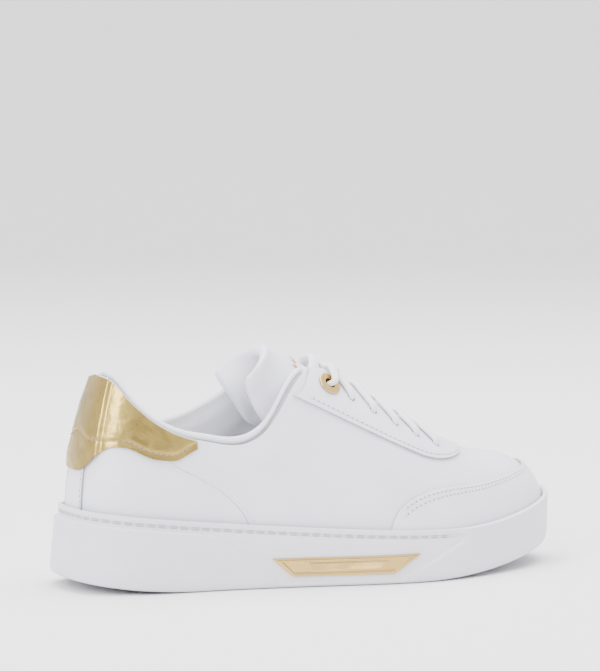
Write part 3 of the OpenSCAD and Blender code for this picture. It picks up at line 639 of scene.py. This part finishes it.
def stitch_row(name, path, normals, length=1.9, space=0.95, width=0.72, slot="thread_white",
               replaces=(), sunk=0.1, thread=None, needle=0.42):
    """A row of separate stitches laid along path, each a small rounded bar of thread between needle holes
    that are painted dark, as painted shade inside the holes."""
    run = run_length(path)
    count = int(run[-1] // (length + space))
    q = np.radians(np.arange(0, 360, 60))
    profile = [(-0.5, 0.35), (-0.36, 0.85), (0, 1.0), (0.36, 0.85), (0.5, 0.35)]
    points, faces, slots = [], [], []
    for c in range(count):
        centre = (c + 0.5) * (length + space)
        for end, swell in profile:
            s = centre + end * length
            p = np.array([np.interp(s, run, path[:, k]) for k in range(3)])
            n = unit(np.array([np.interp(s, run, normals[:, k]) for k in range(3)]))
            ahead = np.array([np.interp(s + 0.4, run, path[:, k]) for k in range(3)])
            behind = np.array([np.interp(s - 0.4, run, path[:, k]) for k in range(3)])
            across = unit(np.cross(unit(ahead - behind), n))
            lift = width * (0.22 if abs(end) < 0.4 else -0.2) - sunk
            points += [p + n * (lift + 0.42 * width * swell * math.sin(a))
                       + across * (0.5 * width * swell * math.cos(a)) for a in q]
        base = len(points) - 30
        faces += [(base + r * 6 + k, base + r * 6 + (k + 1) % 6, base + r * 6 + 6 + (k + 1) % 6,
                   base + r * 6 + 6 + k) for r in range(4) for k in range(6)]
        faces += [tuple(range(base, base + 6)), tuple(range(base + 24, base + 30))]
        slots += [0] * 26
        # each needle hole is a sunk disc coloured near black, painted shade between the stitches
        if needle:
            s = (c + 1) * (length + space)
            p, n, ahead = (np.array([np.interp(v, run, table[:, k]) for k in range(3)])
                           for v, table in ((s, path), (s, normals), (s + 0.4, path)))
            n, side = unit(n), unit(ahead - p)
            across = np.cross(side, n)
            base = len(points)
            points += [p + n * h + needle * (side * math.cos(a) + across * math.sin(a))
                       for h in (0.06 - sunk, -0.3 - sunk) for a in q]
            faces += [(base + k, base + (k + 1) % 6, base + 6 + (k + 1) % 6, base + 6 + k) for k in range(6)]
            faces += [tuple(range(base, base + 6)), tuple(range(base + 6, base + 12))]
            slots += [1] * 8
    return piece(name, points, faces, [thread or THREAD, NEEDLE_HOLE_SHADE], slot, replaces, slots)


# ---- Sole ----


def profile_rings():
    """Rings of the cupsole from the floor's underside, up the wall, over the rim and down inside."""
    low = [(4, TREAD_T + 0.4), (4, 0.5), (3, 0.32), (2.2, 0.3), (1.4, 0.7), (0.8, 1.6)]
    high = [(0, 1 - WALL_DROP), (0, -4.6), (0.1, -4.3), (0.6, -4.05), (0.6, -2.75), (0.1, -2.5),
            (0, -2.2), (0, -0.6), (0.18, -0.18), (0.6, 0), (RIM_T - 0.4, 0), (RIM_T, -0.8),
            (RIM_T, -3)]
    return low, high


def cupsole():
    count, wall = 900, 26
    u = np.linspace(0, TURN, count, endpoint=False)
    low, high = profile_rings()
    rings = []
    for inset, z in low:
        p = outline(u, inset + 0 * u)
        rings.append(stack(p[:, 0], p[:, 1], ground(p[:, 0]) + z))
    rings += [sole_wall(u, k, 0) for k in np.linspace(0, 1, wall)]
    wrapped = over_rim(u)
    for inset, z in high:
        bare = rim_inset(u) + inset
        face = rim_inset(u) - ledge(u) + (inset if z > -0.4 else 0)
        p = outline(u, mix(bare, face, wrapped) if inset < 1 else bare)
        rings.append(stack(p[:, 0], p[:, 1], rim_z(p[:, 0]) + z))
    p = outline(u, rim_inset(u) + RIM_T + 0.4)
    rings.append(stack(p[:, 0], p[:, 1], ground(p[:, 0]) + TREAD_T + CUP_FLOOR_T))
    rings = np.array(rings)
    m = len(rings)
    ids = np.arange(m * count).reshape(m, count)
    a, b = ids[:-1], ids[1:]
    sides = stack(a, np.roll(a, -1, 1), np.roll(b, -1, 1), b).reshape(-1, 4)
    in_wall = np.zeros((m - 1, count), int)
    in_wall[len(low):len(low) + wall - 1] = 1
    for row in range(len(low), len(low) + wall - 1):
        k = (row - len(low)) / (wall - 1)
        in_wall[row, on_panel(u, k) > 0.02] = 0
    i = np.arange(1, count // 2)
    caps = [stack(ids[r, i], ids[r, i + 1], ids[r, count - i - 1], ids[r, count - i]) for r in (0, m - 1)]
    faces = np.concatenate([sides] + [c[:-1] for c in caps])
    slots = np.concatenate([in_wall.ravel(), np.zeros(sum(len(c) - 1 for c in caps), int)])
    run = run_length(rings[10])
    uv = stack(np.tile(run, m), rings[..., 2].ravel())
    return piece("cupsole_detail", rings.reshape(-1, 3), faces, [RUBBER, HATCHED], "rubber_white",
                 ("cupsole",), slots, uv)


def tread():
    """Herringbone tread, with grooves cut up into the sheet from below."""
    nx, ny, groove = 520, 150, 1.3
    u = np.linspace(0, TURN, 3601)
    p = outline(u, TREAD_INSET + 0 * u)
    tip = int(np.argmax(p[:, 0]))
    x = np.linspace(-133.4, 136.0, nx + 1)
    outer = np.interp(x, p[:tip, 0], p[:tip, 1])
    inner = np.interp(x, p[tip:, 0][::-1], p[tip:, 1][::-1])
    share = np.linspace(0, 1, ny + 1)
    y = mix(outer[:, None], inner[:, None], share[None])
    xx = np.broadcast_to(x[:, None], y.shape)
    zigzag = 5 * np.abs((y / 13) % 2 - 1)
    cut = np.abs(((xx + zigzag) / 7.5) % 1 - 0.5) < 0.15
    border = (np.minimum(y - outer[:, None], inner[:, None] - y) > 4) & (xx > -127) & (xx < 129)
    floor = ground(xx)
    under = stack(xx, y, floor + groove * (cut & border))
    return shell("herringbone_tread", stack(xx, y, floor + TREAD_T), under, [RUBBER], "rubber_white",
                 ("outsole_tread",), bevel=0)


def rim_stitches():
    s = np.linspace(-6.1, 6.1, 1801)
    u = np.where(s < 0, partner(-s), s)
    p = outline(u, rim_inset(u) + 0.55)
    outward = outline(u, 0 * u) - outline(u, 1 + 0 * u)
    path = stack(p[:, 0], p[:, 1], rim_z(p[:, 0]) - 3.4)
    return stitch_row("rim_stitching", path, stack(outward[:, 0], outward[:, 1], 0 * u),
                      length=4.6, space=1.1, width=1.0, replaces=("sole_stitching",), sunk=-0.05,
                      needle=0, thread=RIM_THREAD)


def side_plate():
    """Bevelled metal plate with a plain fluted field."""
    a, h = grid(420, 30)
    u = mix(mix(3.86, 3.62, h), mix(5.1, 5.5, h), a)
    inside = np.minimum(np.minimum(a, 1 - a) * 26, np.minimum(h, 1 - h) * 6)
    frame_edge = PLATE_RELIEF * (1 - ease((inside - 0.9) / 0.35))
    fluted = ease((inside - 1.5) / 0.4) * ease((0.3 - np.abs(a - 0.5)) / 0.02)
    flutes = 0.22 * fluted * (0.5 + 0.5 * np.cos(2 * np.pi * a * 60))
    bevel = 0.5 * (1 - ease(inside / 0.55))
    k = mix(0.09, mix(0.53, 0.69, a), h)
    outer = sole_wall(u, k, PLATE_SEAT + PLATE_T - PLATE_RELIEF + frame_edge + flutes - bevel)
    return shell("fluted_side_plate", outer, sole_wall(u, k, PLATE_SEAT), [GOLD], "gold_metal",
                 ("side_plate",), bevel=0)


def sockliner():
    count, rings = 240, 26
    u = np.linspace(0, TURN, count, endpoint=False)
    rows = []
    for r in range(rings + 1):
        inset = upper_inset(u) + 5.4
        p = outline(u, inset)
        share = (1 - r / rings) ** 0.9
        x, y = p[:, 0] * mix(1, share, 0.999), p[:, 1] * mix(1, share, 0.999)
        edge_round = 0.9 * (1 - min(1, r / 2)) ** 2
        rows.append(stack(x, y, rim_z(x) - FEATHER_DROP + 0.2 + SOCK_T - edge_round))
    lower = outline(u, upper_inset(u) + 5.4)
    rows.insert(0, stack(lower[:, 0], lower[:, 1], rim_z(lower[:, 0]) - FEATHER_DROP + 0.3))
    rows = np.array(rows)
    ids = np.arange(rows.shape[0] * count).reshape(rows.shape[0], count)
    a, b = ids[:-1], ids[1:]
    faces = stack(a, np.roll(a, -1, 1), np.roll(b, -1, 1), b).reshape(-1, 4)
    return piece("knit_sockliner", rows.reshape(-1, 3), faces, [SOCK], "sock_textile", ("sockliner",),
                 uv=rows[..., :2].reshape(-1, 2))


# ---- Upper ----


def throat_grid(side, mid, back, front):
    """Indices of a panel that is split by the throat: share up each side, place across, place along."""
    n = 2 * side + mid
    i, j = np.meshgrid(np.arange(back + front + 1), np.arange(n + 1), indexing="ij")
    f = np.where(j <= side, j / side, np.where(j >= side + mid, (n - j) / side, 1.0))
    m = np.clip((j - side) / mid, 0, 1)
    ci, cj = np.meshgrid(np.arange(back + front), np.arange(n), indexing="ij")
    keep = (ci >= back) | (cj < side) | (cj >= side + mid)
    zone = np.where(j <= side, -1, np.where(j >= side + mid, 1, 0))
    return i, f, m, zone, keep


def along_upper(i, start, back, front, end):
    """Station of row i, with the end of the throat on a row of its own."""
    return np.where(i < back, mix(start, THROAT_END, i / back), mix(THROAT_END, end, (i - back) / front))


def across(zone, low, high, lo, hi, f, m):
    return np.where(zone < 0, mix(low, lo, f), np.where(zone > 0, mix(high, hi, f), mix(lo, hi, m)))


def vamp():
    back, front = 96, 70
    i, f, m, zone, keep = throat_grid(34, 20, back, front)
    start = quarter_seam(f) + SEAM_GAP
    p = along_upper(i, start, back, front, TIP)
    w = across(zone, -1, 1, -1 + edge(p), 1 - edge(-p), f, m)
    return cut_holes(shell("vamp_leather", hoop(p, w, 0), hoop(p, w, -LEATHER_T), [WHITE, RAW_EDGE_AND_SHADE],
                           "leather_white", ("vamp",), keep, True))


def vamp_lining():
    back, front = 50, 50
    i, f, m, zone, keep = throat_grid(26, 16, back, front)
    start = mix(4.3, 4.56, f)
    p = along_upper(i, start, back, front, TIP)
    w = across(zone, -0.98, 0.98, -1 + edge(p), 1 - edge(-p), f, m)
    behind = np.maximum(ease((p - 6.4) / 0.7), ease((4.8 - p) / 0.5) * ease((np.abs(w) - 0.45) / 0.15))
    d = LEATHER_T + GAP + (STIFF_T + GAP) * behind
    return cut_holes(shell("vamp_lining_textile", hoop(p, w, -d), hoop(p, w, -d - LINING_T), [TEXTILE],
                           "lining_textile", ("vamp_lining",), keep, True, 0))


def eyestay():
    back, front = 90, 34
    i, f, m, zone, keep = throat_grid(26, 20, back, front)
    start = mix(4, 4.3, f)
    p = along_upper(i, start, back, front, 6.93)
    low = 1 - stay_low(p)
    high = np.minimum(1 - edge(p), 0.9 * low)
    w = across(zone, -low, low, -high, high, f, m)
    seam = 0.22 * np.exp(-((low - np.abs(w) - STAY_STITCH) / 0.009) ** 2)
    swell = 0.15 * ease((low - np.abs(w)) / 0.02) - 0.15
    d = GAP + OVERLAY_T - seam + swell
    return cut_holes(shell("eyestay_leather", hoop(p, w, d), hoop(p, w, GAP + 0 * p), [WHITE, RAW_EDGE_AND_SHADE],
                           "leather_white", ("eyestay",), keep, False, 0.3))


def cut_holes(obj):
    """Punches the lace holes; the first pair is wider, for the metal rings."""
    bm = bmesh.new()
    for k, (station, share) in enumerate(HOLES):
        for u in (station, float(partner(station))):
            centre = last_point(u, share) * MM
            normal = Vector(last_normal(u, share))
            turn = normal.to_track_quat("Z", "Y").to_matrix().to_4x4()
            turn.translation = Vector(centre)
            radius = (HOLE_R + (1.2 if k == 0 else 0)) * MM
            bmesh.ops.create_cone(bm, cap_ends=True, segments=32, radius1=radius, radius2=radius,
                                  depth=12 * MM, matrix=turn)
    mesh = bpy.data.meshes.new("hole_cutter")
    bm.to_mesh(mesh)
    bm.free()
    cutter = bpy.data.objects.new("hole_cutter", mesh)
    bpy.context.scene.collection.objects.link(cutter)
    cut = obj.modifiers.new("holes", "BOOLEAN")
    cut.operation = "DIFFERENCE"
    cut.solver = "EXACT"
    cut.object = cutter
    with bpy.context.temp_override(object=obj, active_object=obj):
        while obj.modifiers[0] != cut:
            bpy.ops.object.modifier_move_up(modifier=cut.name)
        bpy.ops.object.modifier_apply(modifier=cut.name)
    bpy.data.objects.remove(cutter)
    bpy.data.meshes.remove(mesh)
    return obj


def toe_overlay():
    a, b = grid(300, 36)
    v = 2 * a - 1
    q = mix(OVERLAY_START, TIP, (1 - np.abs(v)) ** 1.4)
    u = np.where(v < 0, q, partner(q))
    top = np.maximum(0.03, toe_edge(q))
    t = mix(0.01, top, b)
    below = top - t
    seams = 0.2 * sum(np.exp(-((below - row) / 0.007) ** 2) for row in TOE_STITCHES)
    d = GAP + OVERLAY_T - seams - 0.3 * (1 - ease(below / 0.012))
    return shell("toe_overlay_leather", skin(u, t, d), skin(u, t, GAP + 0 * t), [WHITE, RAW_EDGE_AND_SHADE],
                 "leather_white", ("toe_overlay",), bevel=0.25)


def quarter(sign, node):
    a, b = grid(110, 60)
    s = mix(0.04, quarter_seam(b) - SEAM_GAP, a)
    t = b * edge(sign * s)
    dip = 0.5 * np.exp(-((t - collar_seam(s)) / 0.012) ** 2) * ease((4.6 - s) / 0.5)
    puff = 0.35 * ease((t - collar_seam(s)) / 0.05)
    outer = heel(sign * s, t, puff - dip)
    return shell(node + "_leather", outer, heel(sign * s, t, -LEATHER_T + 0 * t), [WHITE, RAW_EDGE_AND_SHADE],
                 "leather_white", (node,))


def back_stay():
    a, b = grid(40, 90)
    t = mix(0.01, float(edge(0.0)) - 0.006, b)
    half = stay_half(t)
    s = half * mix(-1, 1, a)
    d = GAP + STAY_T - 0.2 * np.exp(-((np.abs(s) - half + STAY_MARGIN) / 0.025) ** 2)
    return shell("back_stay_leather", heel(s, t, d), heel(s, t, GAP + 0 * t), [WHITE, RAW_EDGE_AND_SHADE],
                 "leather_white", ("back_stay",))


def tab_ridge(s):
    return 1.25 * ease((1.15 - np.abs(s)) / 0.2)


def heel_tab():
    a, b = grid(320, 70)
    s = mix(-2.8, 2.8, a)
    low = tab_low(s)
    t = mix(low, edge(s) - 0.004, b)
    base = heel(s, t, 0 * t)
    crease = np.array([noise.fractal(Vector(q * 0.11), 0.9, 2.1, 4) for q in base.reshape(-1, 3)])
    seam = 0.25 * np.exp(-((t - low - tab_stitch_line(s)) / 0.006) ** 2)
    d = GAP + tab_ridge(s) + TAB_T + 0.22 * crease.reshape(t.shape) - seam
    return shell("foil_heel_tab", heel(s, t, d), heel(s, t, GAP + tab_ridge(s)), [FOIL, BROWN],
                 "leather_gold", ("heel_tab",))


def padded_collar():
    """Roll along the top line and padded textile lining below it, swept round the collar in one piece."""
    stations, down, back = 420, 44, 8
    s = np.linspace(-4.14, 4.25, stations)
    top = roll_line(s)
    scale = np.linalg.norm(heel(s, top + 0.01, 0 * s) - heel(s, top - 0.01, 0 * s), axis=1) / 0.02
    radius = COLLAR_ROLL_R
    centre = LEATHER_T + GAP + radius
    wrinkle = np.array([noise.noise(Vector((q * 5.0, 3.1, 0))) for q in s])
    rows = []
    for a in np.radians(np.arange(-50, 181, 15)):
        rows.append((top + radius * (1 + 0.03 * wrinkle) * math.sin(a) / scale,
                     -centre + radius * math.cos(a) + 0 * s))
    for j in range(1, down + 1):
        t = mix(top, 0.02, j / down)
        under = (top - t) * scale
        inner = lining_depth(s, np.minimum(t, under_roll(s))) + LINING_T
        rows.append((t, -mix(centre + radius, inner, ease(under / 9))))
    for j in range(back + 1):
        rows.append((mix(0.02, top - 2.6 / scale, j / back), -(LEATHER_T + STIFF_T + 2.2 * GAP) + 0 * s))
    loops = np.array([heel(s, t, d) for t, d in rows]).transpose(1, 0, 2)
    faces, uv = loft(loops, 8)
    obj = piece("padded_collar", loops.reshape(-1, 3), faces, [TEXTILE], "lining_textile",
                ("collar_piping", "collar_lining", "collar_foam"), uv=uv)
    return obj


# ---- Padded tongue ----


def tongue_section(x, shrink, count):
    """One closed loop round the tongue at x: outer face, rounded side, inner face, rounded side."""
    half = TONGUE_T / 2
    v = np.linspace(-1, 1, count)
    swell = 0.9 * (1 - v ** 4)
    seam = 0.7 * np.exp(-((1 - np.abs(v)) * TONGUE_W * 1.6 - 5.0) ** 2)
    xx = np.full(count, x)
    centre = tongue(xx, v, -half + 0 * v)
    normal = unit(tongue(xx, v, 0 * v + 1.0) - tongue(xx, v, 0 * v))
    rise = (half + swell - seam)[:, None] * shrink * normal
    side = unit(np.gradient(centre, axis=0))
    phi = np.linspace(0, np.pi, 9)[1:-1][:, None]
    right = centre[-1] + half * shrink * (np.cos(phi) * normal[-1] + np.sin(phi) * side[-1])
    left = centre[0] + half * shrink * (-np.cos(phi) * normal[0] - np.sin(phi) * side[0])
    inner = half * shrink * normal
    return np.concatenate([centre + rise, right, (centre - inner)[::-1], left])


def tongue_pad():
    """The whole padded tongue in one piece: leather outside and round its edge, textile inside."""
    count, body_rows, cap = 60, 150, 8
    phi = np.linspace(np.pi / 2, 0, cap, endpoint=False)
    rows = [(TONGUE_END - 3.2 * math.sin(q), max(0.03, math.cos(q))) for q in phi]
    rows += [(x, 1.0) for x in np.linspace(TONGUE_END, TONGUE_ROOT - 4, body_rows)]
    rows += [(TONGUE_ROOT - 4 + 3 * math.sin(q), max(0.03, math.cos(q))) for q in phi[::-1]]
    loops = np.array([tongue_section(x, k, count) for x, k in rows])
    m, n = loops.shape[:2]
    faces, uv = loft(loops, count // 2)
    inner = (np.arange(n) >= count + 10) & (np.arange(n) < 2 * count + 4)
    textile = np.zeros((m - 1, n), int)
    textile[cap + 4:, inner] = 1
    obj = piece("padded_tongue", loops.reshape(-1, 3), faces, [WHITE, TEXTILE], "leather_white", (),
                textile.ravel().tolist() + [0, 0], uv, body=None)
    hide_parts("tongue_base", "tongue_base_padding", "tongue_base_lining", "tongue_wing_binding",
                "tongue_top", "tongue_top_padding", "tongue_top_lining", "tongue_binding")
    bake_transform(obj)
    return obj


def tongue_ornament():
    """A plain row of thin gold lozenges laid across the outside of the tongue."""
    points, faces = [], []
    for c in range(6):
        v = mix(-0.42, 0.12, c / 5)
        at = lambda dx, dv, d: tongue(np.array(-15.0 + dx), np.array(v + dv), np.array(d))
        base = len(points)
        for d in (1.15, 0.7):
            points += [at(-1.3, 0, d), at(0, -0.035, d), at(1.3, 0, d), at(0, 0.035, d)]
        faces += [(base, base + 1, base + 2, base + 3), (base + 4, base + 5, base + 6, base + 7)]
        faces += [(base + k, base + (k + 1) % 4, base + 4 + (k + 1) % 4, base + 4 + k) for k in range(4)]
    obj = piece("tongue_ornament", points, faces, [GOLD], "gold_metal", body=None)
    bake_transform(obj)


# ---- Lace, on the CAD's route, but fuller and a little prouder of the leather ----

LACE_UNDER = -LEATHER_T - GAP - LINING_T - LACE_T / 2 - 0.35
LACE_OVER = GAP + OVERLAY_T + LACE_T / 2 + 0.9
RING_OVER = LACE_OVER + 1.9
HOLE_W, LACE_PUFF = 3.2, 2.4


def lace_step(k, sign, mid_d):
    (a, ta), (b, tb) = HOLES[k], HOLES[k - 1]
    wa, wb = sign * (1 - ta), -sign * (1 - tb)
    over, under = mix(mid_d, LACE_OVER, 0.5), mix(mid_d, LACE_UNDER, 0.6)
    return [[a, wa, LACE_UNDER, HOLE_W],
            [a, wa, 0, HOLE_W],
            [a - 0.015, wa * 0.97, LACE_OVER, HOLE_W + 0.6],
            [mix(a, b, 0.25), wa * 0.66, LACE_OVER, LACE_W],
            [mix(a, b, 0.34), wa * 0.46, LACE_OVER, LACE_W],
            [mix(a, b, 0.44), wa * 0.22, over, LACE_W],
            [mix(a, b, 0.55), 0, mid_d, LACE_W],
            [mix(a, b, 0.66), wb * 0.24, under, LACE_W],
            [mix(a, b, 0.75), wb * 0.44, LACE_UNDER, LACE_W],
            [mix(a, b, 0.88), wb * 0.7, LACE_UNDER, LACE_W]]


def lace_end(sign, shift, mid_d):
    a, t = HOLES[0]
    w, q = sign * (1 - t), a + shift
    over, under = mix(mid_d, LACE_OVER, 0.5), mix(mid_d, LACE_UNDER, 0.6)
    return [[a, w, LACE_UNDER, HOLE_W],
            [a, w, 0.2, HOLE_W],
            [a + shift / 4, w * 0.95, RING_OVER, HOLE_W + 0.6],
            [a + shift / 2, w * 0.6, RING_OVER, LACE_W],
            [q, w * 0.42, LACE_OVER + 0.3, LACE_W],
            [q, w * 0.2, over, LACE_W],
            [q, 0, mid_d, LACE_W],
            [q, -w * 0.24, under, LACE_W],
            [q, -w * 0.42, LACE_UNDER, LACE_W],
            [q, -w * 0.66, LACE_UNDER, LACE_W],
            [q, -w * 0.95, LACE_UNDER - 0.3, LACE_W * 0.9],
            [q, -w * 1.25, LACE_UNDER - 1, LACE_W * 0.7],
            [q, -w * 1.5, LACE_UNDER - 1.6, 3]]


def lace_route():
    last = EYELETS - 1
    half = lambda odd, d: [r for k in range(last, 0, -1) for r in lace_step(k, odd if k % 2 else -odd, d)]
    first = half(-1, 0.9) + lace_end(1, 0.02, 1.4)
    second = half(1, -1.5) + lace_end(-1, 0.16, -0.6)
    station, share = HOLES[last]
    bar = [[station, v * (1 - share), LACE_UNDER, LACE_W] for v in (-0.66, 0, 0.66)]
    return np.array(first[::-1] + bar + second)


def lace():
    route = lace_route()
    points = hoop(route[:, 0], route[:, 1], route[:, 2])
    rows = smooth_path(np.column_stack([points, route[:, 3]]), 8)
    n = len(rows)
    widths = rows[:, 3] * (1 + 0.02 * np.sin(np.arange(n) * 0.9))
    mesh, faces, uv = tube(rows[:, :3], np.tile([1, 0, -0.55], (n, 1)), widths,
                           np.full(n, LACE_T * LACE_PUFF), 14)
    return piece("flat_lace", mesh, faces, [LACE], "lace_white", ("lace",), uv=uv)


# ---- Stitch rows on the upper ----


def row_on(name, at, count=500, **look):
    """Stitch row along at(k, d), a path on the upper with k from 0 to 1 and d its height."""
    k = np.linspace(0, 1, count)
    path = at(k, 0.0)
    return stitch_row(name, path, unit(at(k, 1.0) - path), **look)


def stay_row(k, d):
    p = mix(4.2, 6.9, 1 - np.abs(2 * k - 1) ** 1.5)
    w = np.sign(2 * k - 1) * (1 - stay_low(p) - STAY_STITCH)
    return hoop(p, w, GAP + OVERLAY_T + d + 0 * k)


def toe_row(share):
    def at(k, d):
        v = 2 * k - 1
        q = mix(5.3, TIP, (1 - np.abs(v)) ** 1.2)
        u = np.where(v < 0, q, partner(q))
        return skin(u, toe_edge(q) - share, GAP + OVERLAY_T + d + 0 * k)
    return at


def seam_row(sign, offset):
    def at(k, d):
        f = mix(0.03, 0.66, k)
        s = quarter_seam(f) + offset
        return heel(sign * s, f * edge(sign * s), d + 0 * k)
    return at


def collar_row(sign):
    def at(k, d):
        s = mix(2.7, 4.0, k)
        return heel(sign * s, collar_seam(s), d + 0 * k)
    return at


def tab_row(k, d):
    s = mix(-2.7, 2.7, k)
    return heel(s, tab_low(s) + tab_stitch_line(s), GAP + tab_ridge(s) + TAB_T + d)


def stay_side_row(sign):
    def at(k, d):
        t = mix(0.02, 0.13, k)
        return heel(sign * (stay_half(t) - STAY_MARGIN), t, GAP + STAY_T + d + 0 * k)
    return at


def upper_stitching():
    row_on("eyestay_stitches", stay_row)
    row_on("toe_stitches_edge", toe_row(TOE_STITCHES[0]))
    row_on("toe_stitches_second", toe_row(TOE_STITCHES[1]))
    for sign, side in ((1, "outer"), (-1, "inner")):
        row_on("quarter_stitches_" + side, seam_row(sign, 0.07))
        row_on("collar_stitches_" + side, collar_row(sign), sunk=0.35)
        row_on("back_stay_stitches_" + side, stay_side_row(sign))
    row_on("tab_stitches", tab_row, sunk=0.2, thread=GOLD_THREAD)


# ---- CAD nodes that stay ----


def finish_nodes():
    finishes = {"midsole_filler": FOAM, "insole_board": BOARD, "heel_counter": STIFF, "toe_puff": STIFF,
                "eyelet_ring_lateral": GOLD, "eyelet_ring_medial": GOLD, "lace_aglets": AGLET}
    for node, finish in finishes.items():
        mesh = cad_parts[node].data
        mesh.materials.clear()
        mesh.materials.append(finish)
        mesh.set_sharp_from_angle(angle=math.radians(35))


# ---- Studio ----


def studio_floor():
    """Pale floor that curves up into a round wall, without a visible corner."""
    steps, count = 24, 96
    profile = [(0, 0), (1.2, 0)] + [(3.2 + 1.6 * math.sin(a), 1.6 - 1.6 * math.cos(a))
                                   for a in np.linspace(0, math.pi / 2, steps)] + [(4.8, 3.4)]
    verts = [(radius * math.cos(q), radius * math.sin(q), z) for radius, z in profile[1:]
             for q in np.linspace(0, 2 * math.pi, count, endpoint=False)] + [(0, 0, 0)]
    rows = len(profile) - 1
    faces = [(i * count + k, (i + 1) * count + k, (i + 1) * count + (k + 1) % count,
              i * count + (k + 1) % count) for i in range(rows - 1) for k in range(count)]
    faces += [(k, (k + 1) % count, rows * count) for k in range(count)]
    mesh = bpy.data.meshes.new("studio_floor")
    mesh.from_pydata(verts, [], faces)
    mesh.polygons.foreach_set("use_smooth", [True] * len(mesh.polygons))
    f = Finish("studio_paper", (0.84, 0.835, 0.84), 0.95)
    f.tint(f.texture("Noise", 0.8), 0.99, 1.0)
    mesh.materials.append(f.material)
    floor = bpy.data.objects.new("studio_floor", mesh)
    bpy.context.scene.collection.objects.link(floor)


def place_and_aim(obj, place, aim):
    obj.location = place
    obj.rotation_euler = (Vector(aim) - Vector(place)).to_track_quat("-Z", "Y").to_euler()
    bpy.context.scene.collection.objects.link(obj)


def dark_card(name, place, aim, size):
    """Dark board beside the shoe, which gives polished metal something dark to reflect."""
    mesh = bpy.data.meshes.new(name)
    w, h = size[0] / 2, size[1] / 2
    mesh.from_pydata([(-w, -h, 0), (w, -h, 0), (w, h, 0), (-w, h, 0)], [], [(0, 1, 2, 3)])
    mesh.materials.append(plain(name + "_paint", (0.05, 0.045, 0.04), 0.8, 20, 0.1))
    obj = bpy.data.objects.new(name, mesh)
    place_and_aim(obj, place, aim)


def area_light(name, place, aim, size, power):
    light = bpy.data.lights.new(name, "AREA")
    light.shape = "RECTANGLE"
    light.size, light.size_y = size
    light.energy = power
    obj = bpy.data.objects.new(name, light)
    place_and_aim(obj, place, aim)


def studio_lights():
    world = bpy.data.worlds.new("studio_air")
    world.use_nodes = True
    world.node_tree.nodes["Background"].inputs["Color"].default_value = (0.97, 0.97, 1, 1)
    world.node_tree.nodes["Background"].inputs["Strength"].default_value = 2.25
    bpy.context.scene.world = world
    middle = (0, 0, 0.06)
    area_light("overhead_softbox", (0.2, 0.3, 2.0), middle, (2.4, 2.0), 105)
    area_light("left_softbox", (-1.8, -1.0, 1.3), middle, (0.9, 1.4), 50)
    dark_card("dark_card_low", (-0.35, -2.3, 0.55), middle, (1.1, 0.5))
    dark_card("dark_card_side", (-2.2, -0.1, 0.9), middle, (0.35, 1.2))


def studio_camera():
    """Seen from the outer side, a little from behind and above."""
    turn, drop = math.radians(24), math.radians(4.34)
    ahead = Vector((math.sin(turn) * math.cos(drop), math.cos(turn) * math.cos(drop), -math.sin(drop)))
    camera = bpy.data.cameras.new("studio_camera")
    camera.sensor_width = 36
    camera.lens = 169.6
    obj = bpy.data.objects.new("studio_camera", camera)
    obj.location = Vector((-0.0149, -0.0172, 0.1237)) - 1.6 * ahead
    obj.rotation_euler = ahead.to_track_quat("-Z", "Y").to_euler()
    bpy.context.scene.collection.objects.link(obj)
    bpy.context.scene.camera = obj


studio_camera()
lace()
studio_floor()
studio_lights()
cupsole()
tread()
rim_stitches()
side_plate()
sockliner()
vamp()
vamp_lining()
quarter(1, "quarter_lateral")
quarter(-1, "quarter_medial")
toe_overlay()
eyestay()
back_stay()
heel_tab()
padded_collar()
tongue_pad()
upper_stitching()
tongue_ornament()
finish_nodes()
